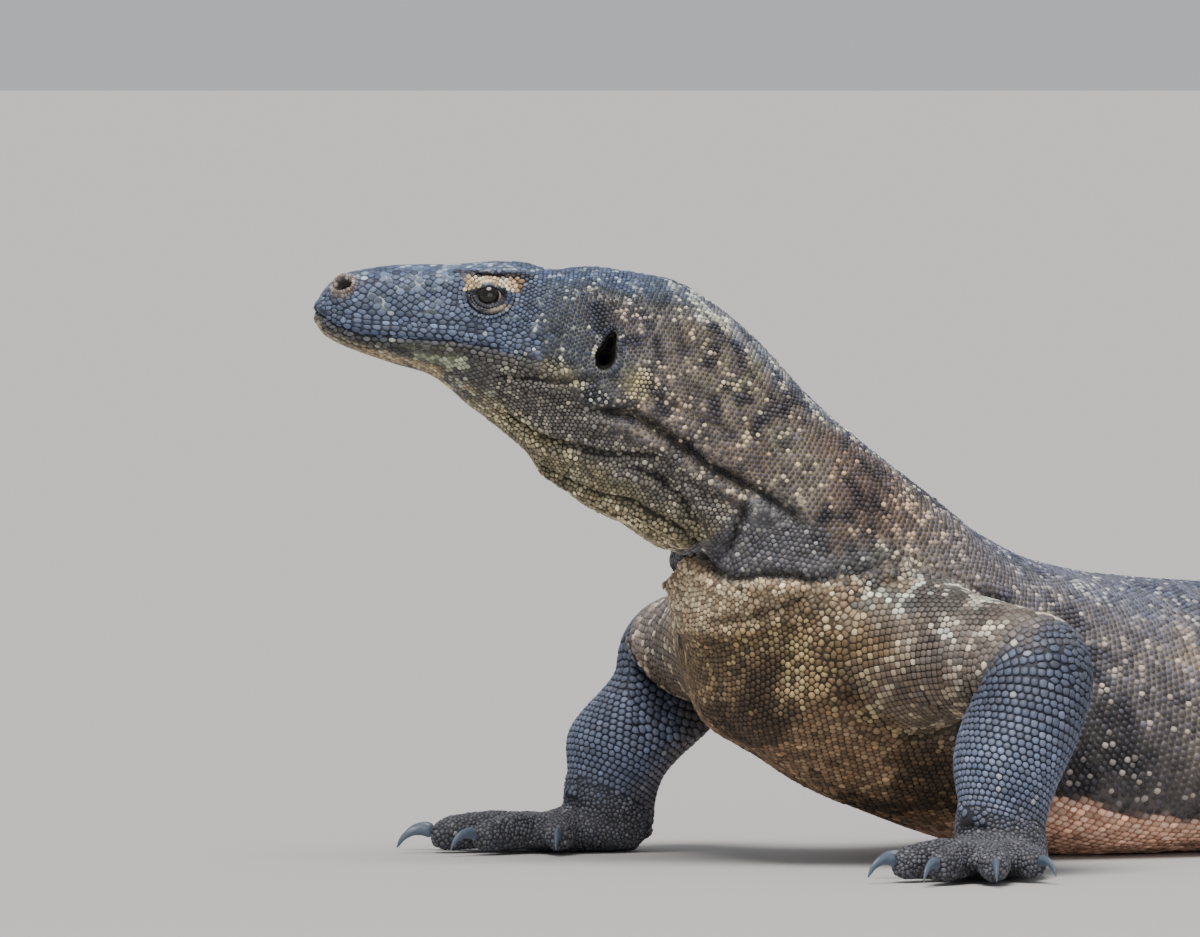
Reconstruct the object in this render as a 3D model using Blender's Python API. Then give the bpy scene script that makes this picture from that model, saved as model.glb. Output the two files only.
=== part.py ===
# Komodo dragon, a life-size still model resting on its belly with the chest and head raised.
#
# Metres, +Z up, floor at z = 0. The trunk lies along X with the head towards -X, the animal's right
# side is +Y, and the head is turned to its right. The last step moves the whole animal so that the
# origin is on the floor under the middle of its box.

import cmath
import math
from collections import namedtuple

import bmesh
import bpy
import numpy as np
from mathutils import Matrix, Vector
from mathutils.bvhtree import BVHTree

# ---- driving dimensions -------------------------------------------------------------------------

GAP = 0.0003  # clear space between neighbouring pieces
HEAD_SIDES = 26
BODY_SIDES = 24
LIMB_SIDES = 12
DIGIT_SIDES = 7

NOSE_ROUND = 0.014  # how far back the snout takes to reach its full section
TAIL_ROUND = 0.012
HEAD_END = 0.200  # cuts across the body, measured along the spine from the snout
NECK_END = 0.348
TRUNK_END = 1.190
TAIL_CUTS = (1.62, 2.06)

EYE_AT, EYE_ANGLE, EYE_RADIUS, EYE_SUNK = 0.108, 60.0, 0.0085, 0.0052
EAR_AT, EAR_ANGLE = 0.183, 81.5
NOSTRIL_AT, NOSTRIL_ANGLE = 0.0125, 49.0

# The spine from snout to tail tip. Each station holds the axis point, the half width, the height of
# the back above the axis, the depth of the belly below it, and how square the section is above and
# below (2 is an ellipse).
Station = namedtuple("Station", "name x y z half_width rise drop square_up square_down")
SPINE = (
    Station("snout", -0.2745, 0.1633, 0.3575, 0.0185, 0.0200, 0.0120, 2.3, 2.2),
    Station("nostril", -0.2598, 0.1514, 0.3512, 0.0225, 0.0300, 0.0175, 2.4, 2.2),
    Station("snout_middle", -0.2350, 0.1313, 0.3465, 0.0270, 0.0388, 0.0250, 2.5, 2.2),
    Station("snout_root", -0.2116, 0.1123, 0.3433, 0.0325, 0.0425, 0.0315, 2.6, 2.2),
    Station("eye", -0.1887, 0.0938, 0.3382, 0.0395, 0.0500, 0.0475, 2.8, 2.1),
    Station("cheek", -0.1677, 0.0770, 0.3330, 0.0465, 0.0520, 0.0595, 2.7, 2.0),
    Station("ear", -0.1449, 0.0593, 0.3247, 0.0500, 0.0615, 0.0715, 2.5, 2.0),
    Station("nape", -0.1242, 0.0442, 0.3113, 0.0515, 0.0735, 0.0755, 2.3, 2.0),
    Station("throat", -0.1026, 0.0300, 0.2940, 0.0535, 0.0750, 0.0775, 2.2, 2.0),
    Station("neck", -0.0783, 0.0172, 0.2729, 0.0570, 0.0720, 0.0720, 2.1, 2.0),
    Station("neck_root", -0.0511, 0.0068, 0.2498, 0.0640, 0.0665, 0.0735, 2.1, 2.0),
    Station("collar", -0.0192, 0.0010, 0.2235, 0.0750, 0.0660, 0.1010, 2.1, 2.0),
    Station("withers", 0.0200, 0.0000, 0.1900, 0.0870, 0.0720, 0.1270, 2.1, 2.1),
    Station("shoulder", 0.0700, 0.0000, 0.1450, 0.0960, 0.0850, 0.1155, 2.1, 2.1),
    Station("chest", 0.1300, 0.0000, 0.1070, 0.1060, 0.0960, 0.0950, 2.1, 2.2),
    Station("ribs", 0.2000, 0.0000, 0.0830, 0.1200, 0.1030, 0.0850, 2.1, 2.5),
    Station("belly_front", 0.2800, 0.0000, 0.0720, 0.1350, 0.1050, 0.0740, 2.1, 2.9),
    Station("belly", 0.4200, 0.0000, 0.0680, 0.1500, 0.1010, 0.0700, 2.1, 3.2),
    Station("flank", 0.5500, 0.0000, 0.0670, 0.1380, 0.0930, 0.0690, 2.1, 3.0),
    Station("hip", 0.6500, 0.0000, 0.0670, 0.1050, 0.0860, 0.0690, 2.1, 2.6),
    Station("vent", 0.7500, 0.0000, 0.0610, 0.0760, 0.0730, 0.0620, 2.1, 2.3),
    Station("tail_root", 0.8800, -0.0100, 0.0540, 0.0560, 0.0620, 0.0550, 2.1, 2.2),
    Station("tail_thick", 1.0600, -0.0400, 0.0460, 0.0420, 0.0520, 0.0470, 2.0, 2.2),
    Station("tail_bend", 1.2800, -0.0950, 0.0380, 0.0310, 0.0430, 0.0390, 2.0, 2.2),
    Station("tail_middle", 1.5000, -0.1350, 0.0310, 0.0230, 0.0350, 0.0320, 2.0, 2.2),
    Station("tail_thin", 1.7200, -0.1250, 0.0240, 0.0165, 0.0270, 0.0250, 2.0, 2.2),
    Station("tail_whip", 1.9200, -0.0650, 0.0165, 0.0108, 0.0180, 0.0175, 2.0, 2.2),
    Station("tail_tip", 2.0700, 0.0250, 0.0085, 0.0050, 0.0080, 0.0090, 2.0, 2.2),
)

# Swellings and hollows on that form: place along the spine, angle from the back's ridge in degrees,
# how far each reaches along and around, and its height. Each is made on both sides.
Relief = namedtuple("Relief", "name at angle along around height")
RELIEFS = (
    Relief("nostril_swelling", 0.0130, 48.0, 0.0080, 22.0, 0.0022),
    Relief("brow", 0.1100, 40.0, 0.0200, 11.0, 0.0042),
    Relief("orbit", 0.1080, 62.0, 0.0140, 11.0, -0.0042),
    Relief("snout_side", 0.0750, 66.0, 0.0260, 14.0, -0.0024),
    Relief("crown_dip", 0.1440, 0.0, 0.0100, 26.0, -0.0026),
    Relief("temple", 0.1480, 66.0, 0.0200, 22.0, 0.0040),
    Relief("jaw_muscle", 0.1600, 112.0, 0.0200, 20.0, 0.0034),
    Relief("jaw_hollow", 0.1500, 140.0, 0.0260, 14.0, -0.0030),
    Relief("neck_crease", 0.2700, 118.0, 0.0300, 10.0, -0.0050),
    Relief("throat_fold", 0.2550, 142.0, 0.0450, 12.0, 0.0030),
    Relief("collar_fold", 0.3060, 180.0, 0.0110, 50.0, -0.0150),
    Relief("chest_front", 0.3300, 180.0, 0.0130, 40.0, 0.0080),
    Relief("chest_swelling", 0.4050, 150.0, 0.0300, 40.0, 0.0060),
    Relief("shoulder_blade", 0.4300, 62.0, 0.0450, 22.0, 0.0060),
    Relief("elbow_pocket", 0.5150, 95.0, 0.0300, 24.0, -0.0070),
    Relief("hip_bone", 1.0700, 48.0, 0.0350, 18.0, 0.0050),
    Relief("tail_muscle", 1.2400, 90.0, 0.0500, 30.0, 0.0060),
)

# The mouth's line in the head's own upright plane: distance behind the snout, and height.
MOUTH_LINE = (
    (0.003, 0.3540),
    (0.012, 0.3475),
    (0.030, 0.3403),
    (0.060, 0.3388),
    (0.096, 0.3360),
    (0.125, 0.3300),
    (0.150, 0.3215),
    (0.165, 0.3150),
)
JAW_BACK_BELOW = (0.148, 0.2000)  # where the jaw's back edge leaves the throat
JAW_FRONT = -0.030

# A limb bends in one plane. Each section has its reach away from the bend, towards it, and to the
# sides, and "at" counts the joints: 0 is the root, 1 the knee or elbow, 2 the wrist or ankle.
Section = namedtuple("Section", "at outer inner side")
Limb = namedtuple("Limb", "name upper lower root bend end sections corner bow")
FORE_SECTIONS = (
    Section(0.00, 0.0480, 0.0500, 0.0560),
    Section(0.30, 0.0430, 0.0460, 0.0500),
    Section(0.60, 0.0390, 0.0390, 0.0420),
    Section(0.85, 0.0385, 0.0330, 0.0375),
    Section(1.00, 0.0420, 0.0290, 0.0365),
    Section(1.20, 0.0380, 0.0320, 0.0370),
    Section(1.50, 0.0355, 0.0385, 0.0360),
    Section(1.80, 0.0310, 0.0330, 0.0340),
    Section(2.00, 0.0255, 0.0255, 0.0310),
)
HIND_SECTIONS = (
    Section(0.00, 0.0600, 0.0580, 0.0600),
    Section(0.30, 0.0580, 0.0540, 0.0560),
    Section(0.65, 0.0460, 0.0440, 0.0430),
    Section(0.88, 0.0400, 0.0340, 0.0370),
    Section(1.00, 0.0400, 0.0290, 0.0350),
    Section(1.20, 0.0380, 0.0320, 0.0340),
    Section(1.50, 0.0340, 0.0330, 0.0310),
    Section(1.80, 0.0260, 0.0260, 0.0260),
    Section(2.00, 0.0220, 0.0220, 0.0255),
)
JOINT_SPREAD = 0.014  # how soon the rings inside a bent elbow or knee draw apart
RIGHT, LEFT = 1, -1

# The animal leans a little: its two elbows and wrists aren't at quite the same place.
ELBOWS = {RIGHT: (0.044, 0.185, 0.133), LEFT: (0.036, -0.188, 0.134)}
WRISTS = {RIGHT: (-0.004, 0.192, 0.036), LEFT: (-0.004, -0.192, 0.036)}
FOREARM_BOWS = {RIGHT: (0.010, -0.007, 0.0), LEFT: (0.0, 0.0, 0.0)}

# A foot is set out from the wrist or ankle: where its digits spread from, its half width, how much
# longer and higher it is than a hand, its turn outwards, and each digit's spread, reach, thickness and claw.
Digit = namedtuple("Digit", "number spread reach radius claw")
Foot = namedtuple("Foot", "spread_from half_width stretch height turn digits")
HAND_DIGITS = (
    Digit(1, -80.0, 0.054, 0.0110, 0.024),
    Digit(2, -36.0, 0.076, 0.0118, 0.027),
    Digit(3, -7.0, 0.088, 0.0120, 0.028),
    Digit(4, 17.0, 0.086, 0.0116, 0.027),
    Digit(5, 46.0, 0.060, 0.0106, 0.024),
)
TOES = (
    Digit(1, -40.0, 0.056, 0.0108, 0.023),
    Digit(2, -18.0, 0.082, 0.0115, 0.025),
    Digit(3, -2.0, 0.106, 0.0118, 0.026),
    Digit(4, 15.0, 0.122, 0.0115, 0.026),
    Digit(5, 52.0, 0.080, 0.0105, 0.023),
)
HAND = Foot(0.030, 0.0370, 1.0, 1.0, 34.0, HAND_DIGITS)
HIND_FOOT = Foot(0.046, 0.0330, 1.3, 0.82, 30.0, TOES)

# Rings of the palm or sole, from the heel to between the digits. Each is given by its lowest point and
# its highest, as a distance in front of the wrist and a height, and by its half width as a share.
PALM_RINGS = (
    (-0.0240, 0.0110, 0.0290, 0.0310, 0.80),
    (-0.0170, 0.0000, 0.0330, 0.0290, 0.90),
    (0.0040, 0.0000, 0.0390, 0.0275, 0.98),
    (0.0250, 0.0000, 0.0460, 0.0245, 1.04),
    (0.0430, 0.0000, 0.0540, 0.0215, 1.00),
    (0.0610, 0.0020, 0.0650, 0.0170, 0.72),
)

COLOURS = {  # base colour, roughness
    "hide": ((0.105, 0.100, 0.098), 0.62),
    "claw": ((0.045, 0.060, 0.080), 0.35),
    "eye": ((0.012, 0.010, 0.010), 0.08),
}


# ---- shapes in numbers --------------------------------------------------------------------------


def smooth_through(knots, values, at):
    """A curve through the values, with each slope taken from the two neighbours."""
    knots, values, at = (np.asarray(a, float) for a in (knots, values, at))
    steps = np.diff(knots)
    rates = np.diff(values) / steps
    slopes = np.empty(len(knots))
    slopes[1:-1] = (rates[:-1] * steps[1:] + rates[1:] * steps[:-1]) / (steps[1:] + steps[:-1])
    slopes[0], slopes[-1] = rates[0], rates[-1]
    i = np.clip(np.searchsorted(knots, at) - 1, 0, len(steps) - 1)
    h = steps[i]
    u = (at - knots[i]) / h
    return (
        values[i] * (1 + 2 * u) * (1 - u) ** 2
        + slopes[i] * h * u * (1 - u) ** 2
        + values[i + 1] * u * u * (3 - 2 * u)
        + slopes[i + 1] * h * u * u * (u - 1)
    )


def lengths_along(points):
    """Distance from the first point to each, along the straight lines between them."""
    steps = np.linalg.norm(np.diff(points, axis=0), axis=1)
    return np.concatenate([[0.0], np.cumsum(steps)])


AXIS = np.array([(s.x, s.y, s.z) for s in SPINE])
STATION_AT = lengths_along(AXIS)
TAIL_END = STATION_AT[-1]


def spine_point(at):
    return Vector([float(smooth_through(STATION_AT, AXIS[:, k], at)) for k in range(3)])


def spine_frame(at):
    """Axis point, the way to the tail, the animal's left, and the way to its back."""
    reach = 0.002
    back = (spine_point(at + reach) - spine_point(at - reach)).normalized()
    left = back.cross(Vector((0, 0, 1))).normalized()
    return spine_point(at), back, left, left.cross(back).normalized()


def station_size(field, at):
    return float(smooth_through(STATION_AT, [getattr(s, field) for s in SPINE], at))


def end_rounding(at):
    """1 along the body, falling to 0 on a round end at the snout and at the tail's tip."""
    share = 1.0
    for reach, into in ((NOSE_ROUND, at), (TAIL_ROUND, TAIL_END - at)):
        if into < reach:
            share *= math.sqrt(max(1 - (1 - into / reach) ** 2, 0.0))
    return share


def relief_at(at, angle):
    """How far the skin stands out or in at this place, from every swelling and hollow."""
    total = 0.0
    for r in RELIEFS:
        across = min(abs(abs(angle) - r.angle), abs(360 - abs(angle) - r.angle))
        total += r.height * math.exp(-(((at - r.at) / r.along) ** 2) - (across / r.around) ** 2)
    return total


def body_point(at, angle):
    """A point of the body's surface. The angle goes from the back's ridge to the animal's left."""
    centre, _, left, up = spine_frame(at)
    turn = math.radians(angle)
    sine, cosine = math.sin(turn), math.cos(turn)
    square = station_size("square_up" if cosine > 0 else "square_down", at)
    height = station_size("rise" if cosine > 0 else "drop", at)
    aside = math.copysign(abs(sine) ** (2 / square), sine) * station_size("half_width", at)
    above = math.copysign(abs(cosine) ** (2 / square), cosine) * height
    signed = (angle + 180) % 360 - 180
    offset = left * aside + up * above
    point = offset * end_rounding(at)
    if offset.length > 0:
        point += offset.normalized() * relief_at(at, signed) * end_rounding(at)
    point += centre
    point.z = max(point.z, 0.0)
    return point


def body_ring(at, sides):
    return [body_point(at, 360 * k / sides) for k in range(sides)]


def body_normal(at, angle):
    """Outward direction of the body's surface."""
    along = body_point(at + 0.003, angle) - body_point(at - 0.003, angle)
    around = body_point(at, angle + 3) - body_point(at, angle - 3)
    return along.cross(around).normalized()


# ---- solids -------------------------------------------------------------------------------------


def add_object(name, mesh, kind="hide"):
    obj = bpy.data.objects.new(name, mesh)
    bpy.context.scene.collection.objects.link(obj)
    if kind in COLOURS:
        mesh.materials.append(finish(kind))
    return obj


def finish(kind):
    """The Principled material of this kind, made once."""
    if kind in bpy.data.materials:
        return bpy.data.materials[kind]
    colour, roughness = COLOURS[kind]
    material = bpy.data.materials.new(kind)
    material.use_nodes = True
    shader = material.node_tree.nodes["Principled BSDF"]
    shader.inputs["Base Color"].default_value = (*colour, 1)
    shader.inputs["Roughness"].default_value = roughness
    shader.inputs["Metallic"].default_value = 0.0
    return material


def loft(name, rings, kind="hide"):
    """A closed solid through rings of equally many points, with flat ends."""
    work = bmesh.new()
    loops = [[work.verts.new(p) for p in ring] for ring in rings]
    for one, other in zip(loops, loops[1:]):
        for k in range(len(one)):
            nxt = (k + 1) % len(one)
            work.faces.new((one[k], one[nxt], other[nxt], other[k]))
    work.faces.new(loops[0][::-1])
    work.faces.new(loops[-1])
    bmesh.ops.recalc_face_normals(work, faces=work.faces)
    bmesh.ops.triangulate(work, faces=work.faces)
    mesh = bpy.data.meshes.new(name)
    work.to_mesh(mesh)
    work.free()
    mesh.shade_smooth()
    mesh.set_sharp_from_angle(angle=math.radians(50))
    return add_object(name, mesh, kind)


def combine(target, other, operation):
    """Cuts other from target, joins it on, or keeps what they share. Other is used up."""
    change = target.modifiers.new(operation, "BOOLEAN")
    change.operation = operation
    change.object = other
    bpy.context.view_layer.update()
    graph = bpy.context.evaluated_depsgraph_get()
    made = bpy.data.meshes.new_from_object(target.evaluated_get(graph))
    target.modifiers.clear()
    target.data = made
    bpy.data.objects.remove(other)
    return target


def swollen(obj, by):
    """A copy of the solid that is larger all over by this much, for cutting its neighbour."""
    grown = obj.copy()
    grown.data = obj.data.copy()
    bpy.context.scene.collection.objects.link(grown)
    normals = [v.normal.copy() for v in grown.data.vertices]
    for vertex, normal in zip(grown.data.vertices, normals):
        vertex.co += normal * by
    return grown


def ellipsoid(name, centre, outward, upright, radii):
    """A ball with its three radii along outward, across it, and along upright."""
    mesh = bpy.data.meshes.new(name)
    work = bmesh.new()
    bmesh.ops.create_uvsphere(work, u_segments=10, v_segments=6, radius=1.0)
    work.to_mesh(mesh)
    work.free()
    outward = outward.normalized()
    across = upright.cross(outward).normalized()
    upright = outward.cross(across).normalized()
    axes = Matrix((outward * radii[0], across * radii[1], upright * radii[2])).transposed()
    mesh.transform(Matrix.Translation(centre) @ axes.to_4x4())
    return add_object(name, mesh, kind="cutter")


# ---- head, neck, trunk and tail -----------------------------------------------------------------


def body_piece(name, start, end, count, sides):
    """The stretch of the body between two cuts, each set back by half the gap."""
    start += GAP / 2 if start > 0 else 0.0004
    end -= GAP / 2 if end < TAIL_END else 0.0004
    shares = [k / (count - 1) for k in range(count)]
    if start < NOSE_ROUND:  # rings crowd together towards the snout
        shares = [s**1.35 for s in shares]
    if end > TAIL_END - TAIL_ROUND:
        shares = [s**0.9 for s in shares]
    return loft(name, [body_ring(start + (end - start) * s, sides) for s in shares])


def jaw_block(name, offset):
    """A block across the head whose top is the mouth's line and whose back is the jaw's corner."""
    tip, back, left, _ = spine_frame(0.06)
    tip = Vector(AXIS[0])
    back = Vector((back.x, back.y, 0)).normalized()
    outline = [(a, z + offset) for a, z in MOUTH_LINE]
    outline[-1] = (outline[-1][0] + offset, outline[-1][1])
    outline.append((JAW_BACK_BELOW[0] + offset, JAW_BACK_BELOW[1]))
    outline.append((JAW_FRONT, JAW_BACK_BELOW[1]))
    outline.append((JAW_FRONT, outline[0][1] + 0.002))
    rings = []
    for side in (-0.12, 0.12):
        rings.append([Vector((*(tip + back * a).xy, z)) + left * side for a, z in outline])
    return loft(name, rings, kind="cutter")


def head_pieces():
    """The upper head with its eye sockets, nostrils and ear openings, and the lower jaw."""
    head = body_piece("head", 0.0, HEAD_END, 21, HEAD_SIDES)
    jaw = head.copy()
    jaw.data = head.data.copy()
    jaw.name = "lower_jaw"
    bpy.context.scene.collection.objects.link(jaw)
    combine(jaw, jaw_block("jaw_keep", -GAP / 2), "INTERSECT")
    combine(head, jaw_block("jaw_cut", GAP / 2), "DIFFERENCE")
    for side in (1, -1):
        eye_centre, eye_out = eye_place(side)
        eye_hole = ellipsoid("hole", eye_centre, eye_out, Vector((0, 0, 1)), [EYE_RADIUS + GAP] * 3)
        combine(head, eye_hole, "DIFFERENCE")
        for at, angle, radii, lean in (
            (NOSTRIL_AT, NOSTRIL_ANGLE, (0.0060, 0.0042, 0.0030), 0.0),
            (EAR_AT, EAR_ANGLE, (0.0090, 0.0068, 0.0135), 0.32),
        ):
            place = body_point(at, side * angle)
            upright = Vector((0, 0, 1)) + spine_frame(at)[1] * lean
            pit = ellipsoid("pit", place, body_normal(at, side * angle) * side, upright, radii)
            combine(head, pit, "DIFFERENCE")


def eye_place(side):
    """Centre of an eyeball and the way it looks; side is 1 on the animal's left."""
    outward = body_normal(EYE_AT, side * EYE_ANGLE)
    _, _, left, _ = spine_frame(EYE_AT)
    outward = (outward if outward.dot(left) * side > 0 else -outward).normalized()
    looks = (outward + left * side * 1.2).normalized()
    return body_point(EYE_AT, side * EYE_ANGLE) - looks * EYE_SUNK, looks


def eyes():
    for name, side in (("eye_left", 1), ("eye_right", -1)):
        centre, looks = eye_place(side)
        ball = ellipsoid(name, centre, looks, Vector((0, 0, 1)), [EYE_RADIUS] * 3)
        ball.data.materials.append(finish("eye"))
        ball.data.shade_smooth()


def tail_pieces():
    cuts = (TRUNK_END, *TAIL_CUTS, TAIL_END)
    names = ("tail_base", "tail_middle", "tail_end")
    rings = (7, 7, 9)
    sides = (BODY_SIDES, 20, 16)
    for k, name in enumerate(names):
        body_piece(name, cuts[k], cuts[k + 1], rings[k], sides[k])


# ---- limbs --------------------------------------------------------------------------------------


def limb_path(limb):
    """The limb's axis as control points, with the corner at the middle joint rounded off."""
    root, bend, end = (Vector(p) for p in (limb.root, limb.bend, limb.end))
    inside = ((root - bend).normalized() + (end - bend).normalized()).normalized()
    above = (Vector((0, 0, 2)) + (bend - end).normalized()).normalized() * 0.027
    points = [
        root,
        root.lerp(bend, 0.55),
        bend + inside * limb.corner,
        bend.lerp(end + above, 0.5) + Vector(limb.bow),
        end + above,
        end,
        end - above,
    ]
    return np.array(points), (0.0, 0.55, 1.0, 1.42, 1.76, 2.0, 2.24)


def limb_axis(limb, at):
    path, knots = limb_path(limb)
    return Vector([float(smooth_through(knots, path[:, k], at)) for k in range(3)])


def limb_ring(limb, at):
    """Points round the limb square to its axis, kept on their own side of the middle joint's plane."""
    along = (limb_axis(limb, at + 0.01) - limb_axis(limb, at - 0.01)).normalized()
    root, bend, end = (Vector(p) for p in (limb.root, limb.bend, limb.end))
    hinge = (bend - root).cross(end - bend).normalized()
    outer = hinge.cross(along).normalized()
    if outer.dot(bend - (root + end) / 2) < 0:
        outer = -outer
    places = [s.at for s in limb.sections]
    reach = {
        field: float(smooth_through(places, [getattr(s, field) for s in limb.sections], at))
        for field in ("outer", "inner", "side")
    }
    joint = limb_axis(limb, 1.0)
    through = (limb_axis(limb, 1.01) - limb_axis(limb, 0.99)).normalized()
    ring = []
    for k in range(LIMB_SIDES):
        turn = 2 * math.pi * k / LIMB_SIDES
        far = reach["outer"] if math.cos(turn) > 0 else reach["inner"]
        offset = outer * math.cos(turn) * far + hinge * math.sin(turn) * reach["side"]
        point = limb_axis(limb, at) + offset
        past = (point - joint).dot(through)
        least = (at - 1) * JOINT_SPREAD
        if at < 1 and past > least or at > 1 and past < least:
            point += through * (least - past)
        point.z = max(point.z, 0.0)
        ring.append(point)
    return ring


def limb_cut(limb, at, gap):
    """A ring moved along the axis by a share of the gap."""
    ring = limb_ring(limb, at)
    ahead = limb_ring(limb, at + 0.02)
    centre = sum(ring, Vector()) / len(ring)
    way = (sum(ahead, Vector()) / len(ahead) - centre).normalized()
    return [p + way * gap for p in ring]


def limb_pieces(limb, neighbours):
    """Lower limb down to the wrist or ankle, and upper limb cut back from the body."""
    rings = [limb_ring(limb, 1 + k / 7) for k in range(7)] + [limb_cut(limb, 2.0, 0.0)]
    lower = loft(f"{limb.lower}_{limb.name}", rings)
    rings = [limb_ring(limb, k / 6) for k in range(6)] + [limb_cut(limb, 1.0, -GAP)]
    upper = loft(f"{limb.upper}_{limb.name}", rings)
    for neighbour in neighbours:
        combine(upper, swollen(neighbour, GAP), "DIFFERENCE")
    return lower


# ---- feet and claws -----------------------------------------------------------------------------


def digit_path(start, way, digit):
    """Points and radii from inside the palm, over the knuckle and down to the claw's root."""
    table = (  # share of the reach, height of the axis, share of the digit's radius
        (0.10, 0.0135, 1.02),
        (0.54, 0.0150, 1.05),
        (0.88, 0.0125, 0.95),
        (1.00, 0.0112, 0.62),
    )
    flat = Vector((start.x, start.y, 0))
    return [(flat + way * digit.reach * s + Vector((0, 0, z)), digit.radius * r) for s, z, r in table]


def round_ring(centre, along, width, height, sides):
    """An oval ring square to along, at least on the floor."""
    across = along.cross(Vector((0, 0, 1))).normalized()
    up = across.cross(along).normalized()
    ring = []
    for k in range(sides):
        turn = 2 * math.pi * (k + 0.5) / sides
        point = centre + across * math.cos(turn) * width + up * math.sin(turn) * height
        point.z = max(point.z, 0.0)
        ring.append(point)
    return ring


def claw(name, root, way, length, radius):
    """A curved, pointed claw: it leaves the digit slightly upwards and bends down to the floor."""
    steps, start_tilt, end_tilt = 4, math.radians(14), math.radians(-86)
    height = root.z + 0.0022
    place = root + way * (GAP + 0.0002)
    rings = []
    for k in range(steps + 1):
        share = k / steps
        tilt = start_tilt + (end_tilt - start_tilt) * share
        along = way * math.cos(tilt) + Vector((0, 0, math.sin(tilt)))
        size = radius * (1 - share) ** 0.72 + 0.0005
        square_to = way if k == 0 else along
        rings.append(claw_ring(Vector((place.x, place.y, max(height, 0.0006))), square_to, size))
        place += along * length / steps
        height += along.z * length / steps
    return loft(name, rings, kind="claw")


def claw_ring(centre, along, size):
    """A claw is deeper than it is wide, and narrower below than above."""
    across = along.cross(Vector((0, 0, 1))).normalized()
    up = across.cross(along).normalized()
    ring = []
    for degrees in (90, 162, 225, 315, 18):
        turn = math.radians(degrees)
        ring.append(centre + across * math.cos(turn) * size * 0.66 + up * math.sin(turn) * size)
    lift = max(0.0, 0.0003 - min(p.z for p in ring))
    return [p + Vector((0, 0, lift)) for p in ring]


def foot_pieces(limb, foot, lower_limb, side, piece_name, claw_name):
    """Palm or sole joined with its five digits, cut back from the limb, and a claw on each."""
    end = Vector(limb.end)
    turn = math.radians(foot.turn)
    way = Vector((-math.cos(turn), side * math.sin(turn), 0))
    floor_point = Vector((end.x, end.y, 0))
    palm = palm_solid(piece_name, limb, foot, floor_point, way)
    for digit in foot.digits:
        spread = turn + math.radians(digit.spread)
        toe_way = Vector((-math.cos(spread), side * math.sin(spread), 0))
        path = digit_path(floor_point + way * foot.spread_from, toe_way, digit)
        toe_rings = [round_ring(c, toe_way, r, r * 1.05, DIGIT_SIDES) for c, r in path]
        combine(palm, loft("toe", toe_rings), "UNION")
        root, radius = path[-1]
        claw(f"{claw_name}_{digit.number}", root, toe_way, digit.claw, radius * 0.72)
    combine(palm, swollen(lower_limb, GAP), "DIFFERENCE")


def palm_solid(name, limb, foot, floor_point, way):
    """From the wrist's ring round the heel, then forward and flatter to between the digits."""
    up = Vector((0, 0, 1))
    across = way.cross(up).normalized()
    cuff = limb_cut(limb, 2.0, 0.0012)
    middle = sum(cuff, Vector()) / len(cuff)
    inside = limb_ring(limb, 1.86)
    heart = sum(inside, Vector()) / len(inside)
    flat = [(p - middle).dot(across) + 1j * (p - middle).dot(way + up) for p in cuff]
    start = cmath.phase(flat[0])
    step = math.copysign(2 * math.pi / len(cuff), (flat[1] * flat[0].conjugate()).imag)
    rings = [[heart.lerp(p, 0.7) for p in inside], cuff]
    for low_along, low_height, high_along, high_height, width in PALM_RINGS:
        low = way * low_along * foot.stretch + up * low_height * foot.height
        high = way * high_along * foot.stretch + up * high_height * foot.height
        centre, half = floor_point + (low + high) / 2, (high - low) / 2
        ring = []
        for k in range(len(cuff)):
            turn = start + step * k
            point = centre + across * math.cos(turn) * foot.half_width * width
            point += half * math.sin(turn)
            point.z = max(point.z, 0.0)
            ring.append(point)
        rings.append(ring)
    return loft(name, rings)


# ---- the whole animal ---------------------------------------------------------------------------


def limbs_of(side, name):
    """Fore and hind limb of one side; side is 1 on the animal's right, where y is positive."""
    elbow, wrist = ELBOWS[side], WRISTS[side]
    fore = Limb(name, "upper_arm", "forearm",
                (0.012, side * 0.050, 0.140), elbow, wrist, FORE_SECTIONS, 0.014, FOREARM_BOWS[side])
    hind = Limb(name, "thigh", "shank",
                (0.640, side * 0.062, 0.082), (0.560, side * 0.206, 0.130),
                (0.642, side * 0.256, 0.036), HIND_SECTIONS, 0.014, (0.0, 0.0, 0.0))
    return fore, hind


def centre_on_floor():
    """Moves every solid so that the origin is on the floor under the middle of the animal's box."""
    corners = [o.matrix_world @ v.co for o in bpy.data.objects for v in o.data.vertices]
    low = [min(c[k] for c in corners) for k in range(3)]
    high = [max(c[k] for c in corners) for k in range(3)]
    shift = Matrix.Translation((-(low[0] + high[0]) / 2, -(low[1] + high[1]) / 2, -low[2]))
    for obj in bpy.data.objects:
        obj.data.transform(shift)
    print("moved by", [round(v, 5) for v in shift.translation])


def main():
    for obj in list(bpy.data.objects):
        bpy.data.objects.remove(obj)
    head_pieces()
    eyes()
    neck = body_piece("neck", HEAD_END, NECK_END, 8, BODY_SIDES)
    trunk = body_piece("trunk", NECK_END, TRUNK_END, 17, BODY_SIDES)
    tail_pieces()
    for side, name in ((RIGHT, "right"), (LEFT, "left")):
        fore, hind = limbs_of(side, name)
        forearm, shank = limb_pieces(fore, (trunk, neck)), limb_pieces(hind, (trunk,))
        foot_pieces(fore, HAND, forearm, side, f"hand_{name}", f"finger_claw_{name}")
        foot_pieces(hind, HIND_FOOT, shank, side, f"foot_{name}", f"toe_claw_{name}")
    centre_on_floor()


main()
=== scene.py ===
import itertools
import math
import time

import bmesh
import bpy
import numpy as np
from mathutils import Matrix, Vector
from mathutils.bvhtree import BVHTree
from mathutils.kdtree import KDTree


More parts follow.
